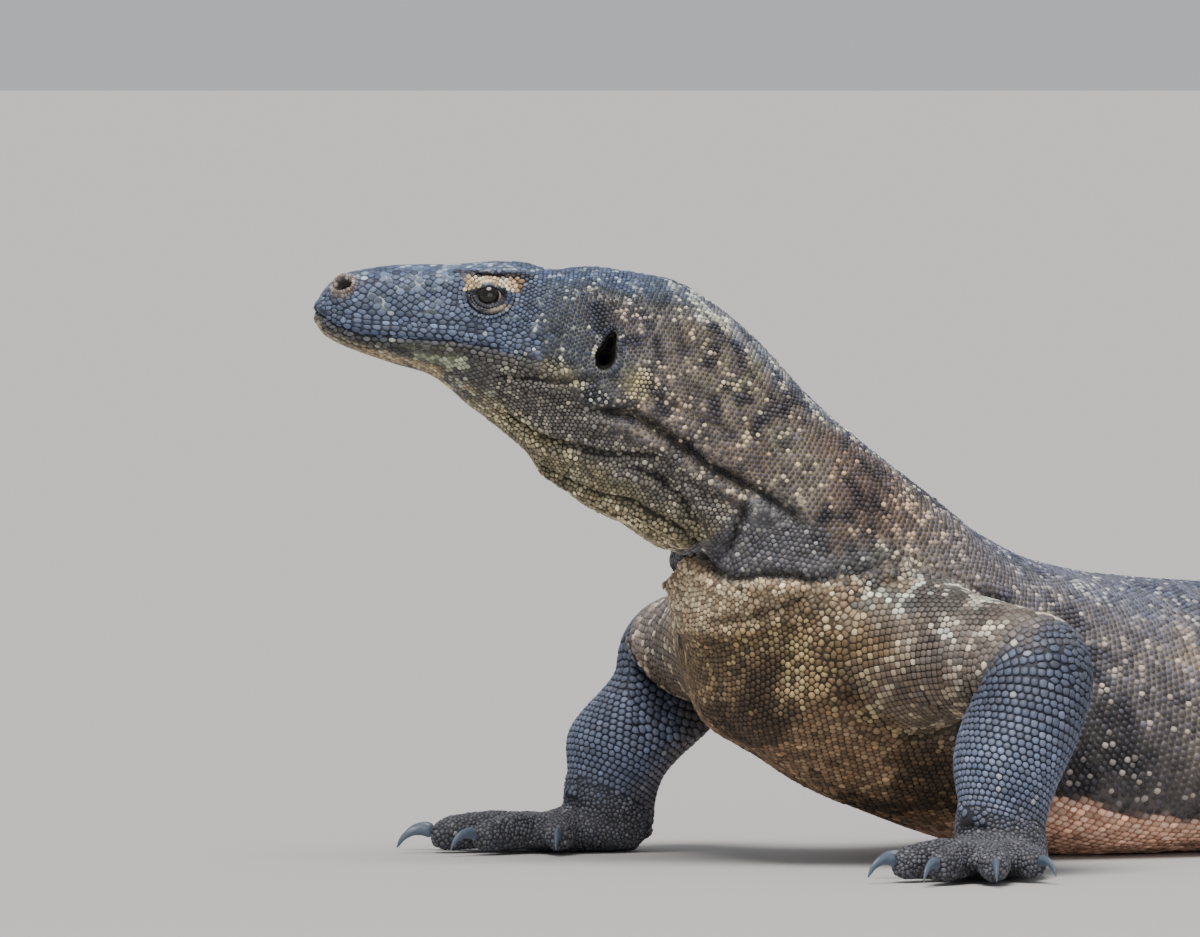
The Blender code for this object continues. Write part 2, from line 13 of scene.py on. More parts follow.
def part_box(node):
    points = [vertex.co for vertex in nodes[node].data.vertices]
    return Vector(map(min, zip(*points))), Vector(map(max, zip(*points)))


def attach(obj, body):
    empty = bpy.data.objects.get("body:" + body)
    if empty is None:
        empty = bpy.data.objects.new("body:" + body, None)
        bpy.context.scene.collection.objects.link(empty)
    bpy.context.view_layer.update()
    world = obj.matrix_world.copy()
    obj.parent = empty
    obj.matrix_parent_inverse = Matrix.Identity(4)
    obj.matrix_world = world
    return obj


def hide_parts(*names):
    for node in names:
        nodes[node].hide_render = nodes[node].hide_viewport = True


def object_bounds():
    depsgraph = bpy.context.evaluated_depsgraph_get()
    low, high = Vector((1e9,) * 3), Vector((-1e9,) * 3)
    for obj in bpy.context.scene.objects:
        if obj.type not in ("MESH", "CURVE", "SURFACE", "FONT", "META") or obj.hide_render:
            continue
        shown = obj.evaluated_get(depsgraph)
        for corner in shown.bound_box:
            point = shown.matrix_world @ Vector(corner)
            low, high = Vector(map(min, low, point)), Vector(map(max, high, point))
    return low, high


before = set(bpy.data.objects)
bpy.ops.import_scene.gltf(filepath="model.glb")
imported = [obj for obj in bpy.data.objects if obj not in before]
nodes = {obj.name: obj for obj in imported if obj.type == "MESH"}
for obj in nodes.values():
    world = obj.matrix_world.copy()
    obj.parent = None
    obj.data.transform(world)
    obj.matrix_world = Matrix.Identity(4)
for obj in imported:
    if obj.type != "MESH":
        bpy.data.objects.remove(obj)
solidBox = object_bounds()
started = time.time()
chance = np.random.default_rng(20)
floorGap = 0.0006  # the least height of the skin over the floor


def say(stage):
    print(f"[{time.time() - started:6.1f} s] {stage}", flush=True)


def shown(name, data):  # a new object in the scene
    made = bpy.data.objects.new(name, data)
    bpy.context.scene.collection.objects.link(made)
    return made


# ---- the body's form, as a formula over (distance from the snout, angle from the back's ridge) ----

body = {
    "shift": (-0.89493, 0.0, 0.0),  # from the spine table's frame to the solids' own
    "noseRound": 0.014,
    "tailRound": 0.012,
    "skinDepth": 0.0011,  # how far the skin lies inside the coat's outer surface
    "headSides": 164,
    "turnWeights": ((0, 0.8), (36, 0.8), (44, 1.9), (76, 1.9), (84, 1.3), (130, 1.1), (180, 0.8)),
}

# x, y, z, half width, rise to the back, drop to the belly, squareness above and below
spine = (
    (-0.2745, 0.1633, 0.3575, 0.0185, 0.0200, 0.0120, 2.3, 2.2),  # snout
    (-0.2598, 0.1514, 0.3512, 0.0225, 0.0300, 0.0175, 2.4, 2.2),  # nostril
    (-0.2350, 0.1313, 0.3465, 0.0270, 0.0388, 0.0250, 2.5, 2.2),
    (-0.2116, 0.1123, 0.3433, 0.0325, 0.0425, 0.0315, 2.6, 2.2),
    (-0.1887, 0.0938, 0.3382, 0.0395, 0.0500, 0.0475, 2.8, 2.1),  # eye
    (-0.1677, 0.0770, 0.3330, 0.0465, 0.0520, 0.0595, 2.7, 2.0),  # cheek
    (-0.1449, 0.0593, 0.3247, 0.0500, 0.0615, 0.0715, 2.5, 2.0),  # ear
    (-0.1242, 0.0442, 0.3113, 0.0515, 0.0735, 0.0755, 2.3, 2.0),  # nape
    (-0.1026, 0.0300, 0.2940, 0.0535, 0.0750, 0.0775, 2.2, 2.0),  # throat
    (-0.0783, 0.0172, 0.2729, 0.0570, 0.0720, 0.0720, 2.1, 2.0),  # neck
    (-0.0511, 0.0068, 0.2498, 0.0640, 0.0665, 0.0735, 2.1, 2.0),
    (-0.0192, 0.0010, 0.2235, 0.0750, 0.0660, 0.1010, 2.1, 2.0),  # collar
    (0.0200, 0.0000, 0.1900, 0.0870, 0.0720, 0.1270, 2.1, 2.1),  # withers
    (0.0700, 0.0000, 0.1450, 0.0960, 0.0850, 0.1155, 2.1, 2.1),  # shoulder
    (0.1300, 0.0000, 0.1070, 0.1060, 0.0960, 0.0950, 2.1, 2.2),  # chest
    (0.2000, 0.0000, 0.0830, 0.1200, 0.1030, 0.0850, 2.1, 2.5),  # ribs
    (0.2800, 0.0000, 0.0720, 0.1350, 0.1050, 0.0740, 2.1, 2.9),
    (0.4200, 0.0000, 0.0680, 0.1500, 0.1010, 0.0700, 2.1, 3.2),  # belly
    (0.5500, 0.0000, 0.0670, 0.1380, 0.0930, 0.0690, 2.1, 3.0),  # flank
    (0.6500, 0.0000, 0.0670, 0.1050, 0.0860, 0.0690, 2.1, 2.6),  # hip
    (0.7500, 0.0000, 0.0610, 0.0760, 0.0730, 0.0620, 2.1, 2.3),  # vent
    (0.8800, -0.0100, 0.0540, 0.0560, 0.0620, 0.0550, 2.1, 2.2),  # tail root
    (1.0600, -0.0400, 0.0460, 0.0420, 0.0520, 0.0470, 2.0, 2.2),
    (1.2800, -0.0950, 0.0380, 0.0310, 0.0430, 0.0390, 2.0, 2.2),
    (1.5000, -0.1350, 0.0310, 0.0230, 0.0350, 0.0320, 2.0, 2.2),
    (1.7200, -0.1250, 0.0240, 0.0165, 0.0270, 0.0250, 2.0, 2.2),
    (1.9200, -0.0650, 0.0165, 0.0108, 0.0180, 0.0175, 2.0, 2.2),
    (2.0700, 0.0250, 0.0085, 0.0050, 0.0080, 0.0090, 2.0, 2.2),  # tail tip
)

# swellings and hollows: place, angle, reach along, reach around, height
swellings = (
    (0.0130, 48.0, 0.0080, 22.0, 0.0022),  # nostril
    (0.1100, 40.0, 0.0200, 11.0, 0.0042),  # brow
    (0.1080, 62.0, 0.0140, 11.0, -0.0042),  # orbit
    (0.0750, 66.0, 0.0260, 14.0, -0.0024),  # side of the snout
    (0.1440, 0.0, 0.0100, 26.0, -0.0026),  # dip behind the crown
    (0.1480, 66.0, 0.0200, 22.0, 0.0040),  # temple
    (0.1600, 112.0, 0.0200, 20.0, 0.0034),  # jaw muscle
    (0.1500, 140.0, 0.0260, 14.0, -0.0030),
    (0.2700, 118.0, 0.0300, 10.0, -0.0050),
    (0.2550, 142.0, 0.0450, 12.0, 0.0030),
    (0.3060, 180.0, 0.0110, 50.0, -0.0150),  # collar fold
    (0.3300, 180.0, 0.0130, 40.0, 0.0080),
    (0.4050, 150.0, 0.0300, 40.0, 0.0060),  # chest
    (0.4300, 62.0, 0.0450, 22.0, 0.0060),  # shoulder blade
    (0.5150, 95.0, 0.0300, 24.0, -0.0070),  # elbow pocket
    (1.0700, 48.0, 0.0350, 18.0, 0.0050),  # hip bone
    (1.2400, 90.0, 0.0500, 30.0, 0.0060),  # tail muscle
)


def through(knots, values, at):  # a smooth curve through the values
    knots, values, at = (np.asarray(a, float) for a in (knots, values, at))
    steps = np.diff(knots)
    rates = np.diff(values) / steps
    slopes = np.empty(len(knots))
    slopes[1:-1] = (rates[:-1] * steps[1:] + rates[1:] * steps[:-1]) / (steps[1:] + steps[:-1])
    slopes[0], slopes[-1] = rates[0], rates[-1]
    i = np.clip(np.searchsorted(knots, at) - 1, 0, len(steps) - 1)
    h = steps[i]
    u = (at - knots[i]) / h
    return (
        values[i] * (1 + 2 * u) * (1 - u) ** 2
        + slopes[i] * h * u * (1 - u) ** 2
        + values[i + 1] * u * u * (3 - 2 * u)
        + slopes[i + 1] * h * u * u * (u - 1)
    )


def runningSum(steps):
    return np.concatenate([[0], np.cumsum(steps)])


def lengthsAlong(points):
    return runningSum(np.linalg.norm(np.diff(points, axis=0), axis=1))


spineRows = np.array(spine)
spineAt = lengthsAlong(spineRows[:, :3])
tailEnd = spineAt[-1]


def unit(v):
    return v / np.maximum(np.linalg.norm(v, axis=-1, keepdims=True), 1e-12)


def ramp(x, low, high):  # 0 below low, 1 above high, smooth between
    u = np.clip((np.asarray(x, float) - low) / (high - low), 0, 1)
    return u * u * (3 - 2 * u)


def bump(x, middle, reach):
    return np.exp(-(((np.asarray(x, float) - middle) / reach) ** 2))


def within(points, low, high):  # which points lie in the box
    return ((points > low) & (points < high)).all(1)


def overFloor(points, least):
    points[..., 2] = np.maximum(points[..., 2], least)
    return points


def spineCentre(at):
    return np.stack([through(spineAt, spineRows[:, k], at) for k in range(3)], -1)


def spineFrames(at):
    back = unit(spineCentre(at + 0.002) - spineCentre(at - 0.002))
    left = unit(np.cross(back, (0.0, 0.0, 1.0)))
    return spineCentre(at) + np.array(body["shift"]), back, left, unit(np.cross(left, back))


def signedAngle(angle):
    return (np.asarray(angle, float) + 180) % 360 - 180


def bodySurface(at, angle):
    at, angle = np.broadcast_arrays(np.asarray(at, float), np.asarray(angle, float))
    centre, _, left, up = spineFrames(at)
    sine, cosine = np.sin(np.radians(angle)), np.cos(np.radians(angle))
    above = cosine > 0
    halfWidth, rise, drop, squareUp, squareDown = (through(spineAt, spineRows[:, k], at) for k in range(3, 8))
    power = 2 / np.where(above, squareUp, squareDown)
    aside = np.sign(sine) * np.abs(sine) ** power * halfWidth
    over = np.sign(cosine) * np.abs(cosine) ** power * np.where(above, rise, drop)
    offset = left * aside[..., None] + up * over[..., None]
    away = np.abs(signedAngle(angle))
    relief = sum(
        h * np.exp(-(((at - a) / along) ** 2) - (np.minimum(abs(away - t), 360 - away - t) / around) ** 2)
        for a, t, along, around, h in swellings
    )
    closing = np.sqrt(np.clip(1 - np.clip(1 - at / body["noseRound"], 0, 1) ** 2, 0, 1))
    closing *= np.sqrt(np.clip(1 - np.clip(1 - (tailEnd - at) / body["tailRound"], 0, 1) ** 2, 0, 1))
    length = np.maximum(np.linalg.norm(offset, axis=-1), 1e-9)
    points = centre + offset * (closing * (1 + relief / length))[..., None]
    return overFloor(points, 0.0)


# ---- limbs: root, joint and end, with a section at each place from 0 at the root to 2 at the wrist ----

foreSections = (  # at, away from the bend, towards it, to the sides
    (0.00, 0.0480, 0.0500, 0.0560),
    (0.30, 0.0430, 0.0460, 0.0500),
    (0.60, 0.0390, 0.0390, 0.0420),
    (0.85, 0.0385, 0.0330, 0.0375),
    (1.00, 0.0420, 0.0290, 0.0365),
    (1.20, 0.0380, 0.0320, 0.0370),
    (1.50, 0.0355, 0.0385, 0.0360),
    (1.80, 0.0310, 0.0330, 0.0340),
    (2.00, 0.0255, 0.0255, 0.0310),
)
hindSections = (
    (0.00, 0.0600, 0.0580, 0.0600),
    (0.30, 0.0580, 0.0540, 0.0560),
    (0.65, 0.0460, 0.0440, 0.0430),
    (0.88, 0.0400, 0.0340, 0.0370),
    (1.00, 0.0400, 0.0290, 0.0350),
    (1.20, 0.0380, 0.0320, 0.0340),
    (1.50, 0.0340, 0.0330, 0.0310),
    (1.80, 0.0260, 0.0260, 0.0260),
    (2.00, 0.0220, 0.0220, 0.0255),
)
limbs = (
    {"name": "arm_right", "kind": 1, "root": (0.012, 0.050, 0.140), "bend": (0.044, 0.185, 0.133),
     "end": (-0.004, 0.192, 0.036), "bow": (0.010, -0.007, 0.0), "sections": foreSections},
    {"name": "arm_left", "kind": 1, "root": (0.012, -0.050, 0.140), "bend": (0.036, -0.188, 0.134),
     "end": (-0.004, -0.192, 0.036), "bow": (0.0, 0.0, 0.0), "sections": foreSections},
) + tuple(
    {"name": f"leg_{name}", "kind": 2, "root": (0.640, side * 0.062, 0.082),
     "bend": (0.560, side * 0.206, 0.130), "end": (0.642, side * 0.256, 0.036), "bow": (0.0, 0.0, 0.0),
     "sections": hindSections}
    for name, side in (("right", 1), ("left", -1))
)
limbShape = {
    "corner": 0.014,
    "ankle": 0.027,
    "spread": 0.014,
    "sides": 52,
    "rings": 58,
    "last": 2.12,  # where the limb ends, inside the hand or foot
    "scaled": (0.16, 2.03),  # where its rows of scales start and end
}
axisKnots = (0.0, 0.55, 1.0, 1.42, 1.76, 2.0, 2.24)


def limbCentre(limb, at):
    root, bend, end = (np.array(limb[k]) for k in ("root", "bend", "end"))
    inside = unit(unit(root - bend) + unit(end - bend))
    above = unit(np.array((0, 0, 2.0)) + unit(bend - end)) * limbShape["ankle"]
    path = np.array([
        root, root + (bend - root) * 0.55, bend + inside * limbShape["corner"],
        (bend + end + above) / 2 + np.array(limb["bow"]), end + above, end, end - above,
    ])
    return np.stack([through(axisKnots, path[:, k], at) for k in range(3)], -1)


def limbSurface(limb, at, turn):  # turn in degrees from the outer side of the bend
    at, turn = np.broadcast_arrays(np.asarray(at, float), np.asarray(turn, float))
    along = unit(limbCentre(limb, at + 0.01) - limbCentre(limb, at - 0.01))
    root, bend, end = (np.array(limb[k]) for k in ("root", "bend", "end"))
    hinge = unit(np.cross(bend - root, end - bend))
    outer = unit(np.cross(hinge, along))
    facing = np.sum(outer * (bend - (root + end) / 2), -1, keepdims=True)
    outer = np.where(facing < 0, -outer, outer)
    rows = np.array(limb["sections"])
    reachOut, reachIn, reachSide = (through(rows[:, 0], rows[:, k], np.minimum(at, 2.0)) for k in (1, 2, 3))
    cosine, sine = np.cos(np.radians(turn)), np.sin(np.radians(turn))
    far = np.where(cosine > 0, reachOut, reachIn)
    points = limbCentre(limb, at) + outer * (cosine * far)[..., None] + hinge * (sine * reachSide)[..., None]
    way = unit(limbCentre(limb, 1.01) - limbCentre(limb, 0.99))
    past = (points - limbCentre(limb, 1.0)) @ way  # the elbow's own plane keeps both halves from crossing
    least = (at - 1) * limbShape["spread"]
    wrong = ((at < 1) & (past > least)) | ((at > 1) & (past < least))
    points += way * (np.where(wrong, least - past, 0))[..., None]
    return overFloor(points, 0.0) + np.array(body["shift"])


# ---- grids of skin ----


def gridNormals(points):  # points[ring, side], the sides closing on themselves
    around = np.roll(points, -1, 1) - np.roll(points, 1, 1)
    along = np.gradient(points, axis=0)
    normal = unit(np.cross(along, around))
    out = np.sum(normal * (points - points.mean(1, keepdims=True)), -1)
    return normal if out.mean() > 0 else -normal


def turnsAround(sides):  # angles round the body, closer together over the side of the head
    angles, weights = zip(*body["turnWeights"])
    fine = np.linspace(0, 180, 721)
    load = runningSum(np.interp((fine[1:] + fine[:-1]) / 2, angles, weights))
    half = np.interp(np.linspace(0, load[-1], sides // 2 + 1), load, fine)
    return np.concatenate([half, 360 - half[-2:0:-1]])


def stepsAlong(table):  # rows of (until, step)
    at, places = 0.0004, []
    for until, step in table:
        while at < until:
            places.append(at)
            at += step
    return np.array(places)


def gridFaces(rings, sides, start=0):
    index = start + np.arange(rings * sides).reshape(rings, sides)
    nxt = np.roll(index, -1, 1)
    return np.stack([index[:-1], nxt[:-1], nxt[1:], index[1:]], -1).reshape(-1, 4)


def bodyGrid():  # the whole body in one sheet, with half as many sides on the trunk and again on the tail
    stretches = (
        (1, ((0.013, 0.0009), (0.085, 0.0015), (0.130, 0.0009), (0.205, 0.0015), (0.352, 0.0023))),
        (2, ((0.460, 0.0034), (1.190, 0.0074))),
        (4, ((tailEnd - 0.015, 0.0094), (tailEnd - 0.0004, 0.0022))),
    )
    turns = turnsAround(body["headSides"])
    rings, faces, place, first, before = [], [], {"s": [], "angle": []}, 0.0, None
    for share, table in stretches:
        own = turns[::share]
        at = [s for s in stepsAlong(table) if s >= first]
        first = at[-1] + 0.003
        points = bodySurface(np.array(at)[:, None], own[None, :])
        points = points - gridNormals(points) * body["skinDepth"]
        start, count = sum(len(r) for r in rings), len(own)
        if before is not None:
            last = start - 2 * count
            for k in range(count):
                far = (k + 1) % count
                faces.append((last + 2 * k, last + 2 * k + 1, last + 2 * far, start + far, start + k))
        faces += [tuple(f) for f in gridFaces(len(at), count, start)]
        rings.append(points.reshape(-1, 3))
        place["s"].append(np.repeat(at, count))
        place["angle"].append(np.tile(signedAngle(own), len(at)))
        before = count
    points = np.concatenate(rings)
    faces.append(tuple(range(body["headSides"]))[::-1])
    faces.append(tuple(range(len(points) - before, len(points))))
    place = {key: np.concatenate(value) for key, value in place.items()}
    return block(points, faces, kind=0, **place)


def limbGrid(limb):
    at = np.linspace(0.0, limbShape["last"], limbShape["rings"])
    turns = np.linspace(0, 360, limbShape["sides"], endpoint=False)
    points = limbSurface(limb, at[:, None], turns[None, :])
    points = points - gridNormals(points) * body["skinDepth"]
    faces = [tuple(f) for f in gridFaces(len(at), len(turns))]
    faces.append(tuple(range(len(turns)))[::-1])
    faces.append(tuple(range(len(turns) * (len(at) - 1), len(turns) * len(at))))
    s, angle = np.repeat(at, len(turns)), np.tile(turns, len(at))
    return block(points.reshape(-1, 3), faces, limb["kind"], s, angle)


paw = {"voxel": 0.0025, "smoothing": 5, "depth": 0.0006, "lift": 0.0008}


def pawBlock(name):  # a hand or foot: its solid remeshed finely and rounded off
    copy = nodes[name].copy()
    copy.data = nodes[name].data.copy()
    bpy.context.scene.collection.objects.link(copy)
    remesh = copy.modifiers.new("remesh", "REMESH")
    remesh.mode, remesh.voxel_size = "VOXEL", paw["voxel"]
    soften = copy.modifiers.new("soften", "SMOOTH")
    soften.factor, soften.iterations = 0.5, paw["smoothing"]
    made = copy.evaluated_get(bpy.context.evaluated_depsgraph_get()).to_mesh()
    points = np.array([v.co + v.normal * -paw["depth"] for v in made.vertices])
    faces = [tuple(f.vertices) for f in made.polygons]
    bpy.data.objects.remove(copy)
    return block(overFloor(points, paw["lift"]), faces, kind=3 if "hand" in name else 4)


def block(points, faces, kind, s=0.0, angle=0.0):  # 0 is the body, 1 an arm, 2 a leg, 3 a hand, 4 a foot
    volume = sum(np.dot(points[f[0]], np.cross(points[f[1]], points[f[2]])) for f in faces)
    if volume < 0:
        faces = [f[::-1] for f in faces]
    full = np.ones(len(points))
    return {"points": points, "faces": faces, "kind": full * kind, "s": full * s, "angle": full * angle}


def treeOf(piece):
    return BVHTree.FromPolygons(piece["points"].tolist(), piece["faces"])


def signedDistances(points, tree, reach):  # beyond reach: reach itself; inside the piece: below zero
    out = np.full(len(points), reach)
    for k, p in enumerate(points.tolist()):
        spot, normal, _, far = tree.find_nearest(p, reach)
        if spot is not None:
            out[k] = math.copysign(far, (Vector(p) - spot).dot(normal))
    return out


def vertexNormals(piece):
    mesh = bpy.data.meshes.new("normals")
    mesh.from_pydata(piece["points"].tolist(), [], piece["faces"])
    normals = np.empty(len(mesh.vertices) * 3)
    mesh.vertex_normals.foreach_get("vector", normals)
    bpy.data.meshes.remove(mesh)
    return normals.reshape(-1, 3)


joining = []  # which pieces flow into each other, and over what width
for name in ("right", "left"):
    joining += [("body", f"arm_{name}", 0.034), ("body", f"leg_{name}", 0.040)]
    joining += [(f"arm_{name}", f"hand_{name}", 0.010), (f"leg_{name}", f"foot_{name}", 0.010)]


def joinPieces(pieces):
    trees = {name: treeOf(piece) for name, piece in pieces.items()}
    moves = {name: np.zeros(len(piece["points"])) for name, piece in pieces.items()}
    for one, other, width in joining:
        for piece, near in ((one, other), (other, one)):
            box = pieces[near]["points"]
            low, high = box.min(0) - width, box.max(0) + width
            points = pieces[piece]["points"]
            close = np.where(within(points, low, high))[0]
            far = np.abs(signedDistances(points[close], trees[near], width))
            push = np.clip(width - far, 0, None) ** 2 / width / 4
            moves[piece][close] = np.maximum(moves[piece][close], push)
    for name, piece in pieces.items():
        piece["points"] = overFloor(piece["points"] + vertexNormals(piece) * moves[name][:, None], floorGap)


# ---- the mouth's line, the folds of loose skin, and the openings ----

mouth = {
    "line": ((0.003, 0.3540), (0.012, 0.3475), (0.030, 0.3403), (0.060, 0.3388),
             (0.096, 0.3360), (0.125, 0.3300), (0.150, 0.3215), (0.165, 0.3150)),
    "depth": 0.0022,
    "width": 0.0012,
    "lip": 0.0012,
    "corner": 0.147,
}
snoutTip = np.array(spine[0][:3]) + np.array(body["shift"])
_, headBack, headLeft, _ = (v[0] for v in spineFrames(np.array([0.06])))
flatBack = unit(headBack * np.array((1, 1, 0)))


def mouthPlace(points):  # (distance behind the snout, height above the mouth's line)
    behind = (points - snoutTip) @ flatBack
    knots, heights = zip(*mouth["line"])
    return behind, points[..., 2] - np.interp(behind, knots, heights)


collarLine = (  # (place, angle) from the belly's middle up to where the chest's colour ends
    (0.306, 180), (0.308, 166), (0.316, 151), (0.326, 131), (0.338, 121), (0.348, 117), (0.358, 109),
    (0.364, 104),
)
folds = (  # width, depth, the roll of skin above it, and its (place, angle) points from front to back
    (0.0042, 0.0064, 0.0040, (
        (0.174, 117), (0.198, 108), (0.216, 101), (0.242, 102), (0.270, 104.5), (0.290, 103), (0.314, 102),
        (0.334, 104))),
    (0.0036, 0.0056, 0.0034, (
        (0.122, 146), (0.138, 147), (0.156, 146), (0.186, 136), (0.214, 127), (0.234, 117), (0.250, 108))),
    (0.0034, 0.0054, 0.0036, (
        (0.204, 136), (0.222, 129), (0.236, 124), (0.250, 124), (0.260, 126), (0.272, 129), (0.282, 134),
        (0.292, 142), (0.302, 156))),
    (0.0034, 0.0054, 0.0038, (
        (0.172, 167), (0.186, 165), (0.204, 161), (0.230, 151), (0.248, 143), (0.260, 145), (0.272, 144),
        (0.284, 144), (0.295, 151), (0.302, 164))),
    (0.0030, 0.0030, 0.0024, ((0.206, 168), (0.232, 163), (0.256, 160), (0.276, 162), (0.296, 170))),
    (0.0036, 0.0044, 0.0022, (
        (0.284, 103), (0.296, 110), (0.300, 118), (0.304, 127), (0.308, 141), (0.310, 156))),
    (0.0038, 0.0060, 0.0052, collarLine + (
        (0.374, 96), (0.388, 91), (0.402, 87), (0.424, 82), (0.450, 76), (0.480, 71))),
    (0.0040, 0.0034, 0.0026, (
        (0.326, 174), (0.334, 158), (0.344, 141), (0.350, 125), (0.362, 112), (0.370, 103))),
    (0.0030, 0.0034, 0.0018, (
        (0.106, 121), (0.126, 115), (0.144, 108), (0.164, 104), (0.182, 97), (0.192, 90))),
    (0.0040, 0.0022, 0.0014, ((0.212, 90), (0.224, 89), (0.242, 87), (0.262, 85), (0.284, 84))),
    (0.0034, 0.0024, 0.0016, ((0.340, 128), (0.352, 117), (0.366, 106))),
    (0.0026, 0.0024, 0.0012, ((0.148, 101), (0.162, 102), (0.176, 103))),
    (0.0030, 0.0010, 0.0006, ((0.138, 62), (0.150, 68), (0.160, 78), (0.166, 90))),
)


def foldPush(points):
    push = np.zeros(len(points))
    for width, depth, roll, path in folds:
        knots = np.array(path, float)
        last = len(knots) - 1
        share = np.linspace(0, last, 26 * len(knots))
        at, angle = (np.interp(share, np.arange(len(knots)), knots[:, k]) for k in (0, 1))
        fading = ramp(share, 0, 1.4) * (1 - ramp(share, last - 1.2, last))
        if path[0][1] == 180:  # it goes on round the belly
            fading = 1 - ramp(share, last - 0.8, last)
        back = spineFrames(at)[1]
        for side in (1, -1):
            line = bodySurface(at, side * angle)
            close = np.where(within(points, line.min(0) - width * 4, line.max(0) + width * 4))[0]
            offsets = points[close, None, :] - line[None, :, :]
            lengths = np.linalg.norm(offsets, axis=-1)
            nearest = lengths.argmin(1)
            row = np.arange(len(close))
            far = lengths[row, nearest]
            above = np.sum(offsets[row, nearest] * back[nearest], -1) > 0
            rolled = bump(far, 1.8 * width, 1.1 * width) * roll * np.where(above, 1.0, 0.4)
            push[close] += (rolled - depth * bump(far, 0, width)) * fading[nearest]
    return push


def mouthPush(points, angle):
    behind, over = mouthPlace(points)
    here = (behind < 0.17) & (np.abs(angle) > 40)
    fading = np.where(here, 1 - ramp(behind, mouth["corner"] - 0.012, mouth["corner"] + 0.004), 0)
    groove = -mouth["depth"] * bump(over, 0, mouth["width"])
    lips = mouth["lip"] * bump(over, 0.0042, 0.0030) + 0.6 * mouth["lip"] * bump(over, -0.0042, 0.0030)
    corner = -0.0020 * bump(np.hypot(behind - mouth["corner"] - 0.003, over), 0, 0.005) * here
    return (groove + lips) * fading + corner


def swell(points):  # the raised flesh round the nostrils
    push = np.zeros(len(points))
    for at, angle, height, reach in ((0.014, 40, 0.0026, 0.015), (0.006, 20, 0.0016, 0.012)):
        for side in (1, -1):
            centre = bodySurface(at, side * angle)
            push = np.maximum(push, height * bump(np.linalg.norm(points - centre, axis=1), 0, reach))
    return push


eye = {"at": 0.108, "angle": 60.0, "radius": 0.0085, "a": 0.0082, "b": 0.0061, "point": 1.9, "lean": -4.0}
nostril = {"at": 0.0125, "angle": 49.0, "a": 0.0066, "b": 0.0052, "lean": 20.0}
ear = {"at": 0.183, "angle": 81.5, "a": 0.0070, "b": 0.0146, "lean": -20.0, "drop": 0.28}
castFrom = 0.05  # how far outside the skin a ray starts


def surfaceNormal(at, angle):
    along = bodySurface(at + 0.003, angle) - bodySurface(at - 0.003, angle)
    around = bodySurface(at, angle + 3) - bodySurface(at, angle - 3)
    return unit(np.cross(along, around))


def planeFor(feature, side):  # centre, outward way, way to the back, way up
    at, angle = feature["at"], side * feature["angle"]
    outward = surfaceNormal(at, angle)
    left = spineFrames(np.array(at))[2]
    outward = outward * np.sign(outward @ left * side)
    centre = bodySurface(at, angle)
    if "radius" in feature:
        outward = unit(outward + left * side * 1.2)
        low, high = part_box("eye_left" if side > 0 else "eye_right")
        centre = (np.array(low) + np.array(high)) / 2
    upright = unit(np.array((0, 0, 1.0)) - outward * outward[2])
    back = unit(np.cross(upright, outward))
    back = back * np.sign(back @ flatBack)
    lean = math.radians(feature.get("lean", 0.0))
    return (centre, outward, back * math.cos(lean) + upright * math.sin(lean),
            upright * math.cos(lean) - back * math.sin(lean))


def edgeOf(feature, turn):  # the opening's outline, in polar form
    power = feature.get("point", 2.0)
    wide = feature["a"] * (1 - feature.get("drop", 0.0) * np.sin(turn))
    across, over = np.abs(np.cos(turn) / wide), np.abs(np.sin(turn) / feature["b"])
    return (across ** power + over ** power) ** (-1 / power)


def eyeHeights(far, edge, skin, turn):
    aside = np.minimum(edge + np.minimum(far, 0.0), 0.0083)
    ball = np.sqrt(np.clip(eye["radius"] ** 2 - aside ** 2, 0, None))
    lid = ball + 0.0007 - 0.0032 * ramp(-far, 0.0, 0.0014)
    height = lid + (skin - lid) * ramp(far, 0.0002, 0.0048)
    low = ramp(-np.sin(turn), -0.30, 0.45)
    for ring, depth in ((0.0030, 0.0010), (0.0064, 0.0022), (0.0100, 0.0020)):
        wrinkle = 0.6 * depth * bump(far, ring - 0.0016, 0.0010) - depth * bump(far, ring, 0.0008)
        height += wrinkle * (0.15 + 0.85 * low)
    up = (edge + far) * np.sin(turn)
    over = ramp(np.sin(turn), 0.1, 0.4)
    return height + over * (0.0020 * bump(up, 0.0156, 0.0017) - 0.0024 * bump(up, 0.0132, 0.0011))


def nostrilHeights(far, edge, skin, turn):
    rim = 0.0016 * bump(far, 0.0013, 0.0018)
    return skin + rim - 0.0066 * ramp(-far, -0.0004, 0.0030)


def earHeights(far, edge, skin, turn):
    dip = 0.0016 * ramp(np.cos(turn + 0.5), 0.1, -0.9) * bump(far, 0.0, 0.004)
    return skin + 0.0010 * bump(far, 0.0012, 0.0014) - dip - 0.0100 * ramp(-far, -0.0006, 0.0042)


# dark: how strong the painted shade inside each opening is; it also keeps scales out of the opening
openings = (
    {"feature": eye, "heights": eyeHeights, "sides": 100, "reach": 0.0128, "dark": 1.0,
     "rings": (-0.0030, -0.0015, -0.0007, -0.0002, 0.0002, 0.0006)},
    {"feature": nostril, "heights": nostrilHeights, "sides": 56, "reach": 0.0052, "dark": 0.86,
     "rings": (-0.0031, -0.0024, -0.0017, -0.0011, -0.0006, -0.0002, 0.0003)},
    {"feature": ear, "heights": earHeights, "sides": 64, "reach": 0.0062, "dark": 1.05,
     "rings": (-0.0048, -0.0038, -0.0028, -0.0018, -0.0010, -0.0004, 0.0001, 0.0006)},
)


def castOnto(tree, start, way):
    hit = tree.ray_cast(Vector(start), Vector(way))[0]
    return None if hit is None else np.array(hit)


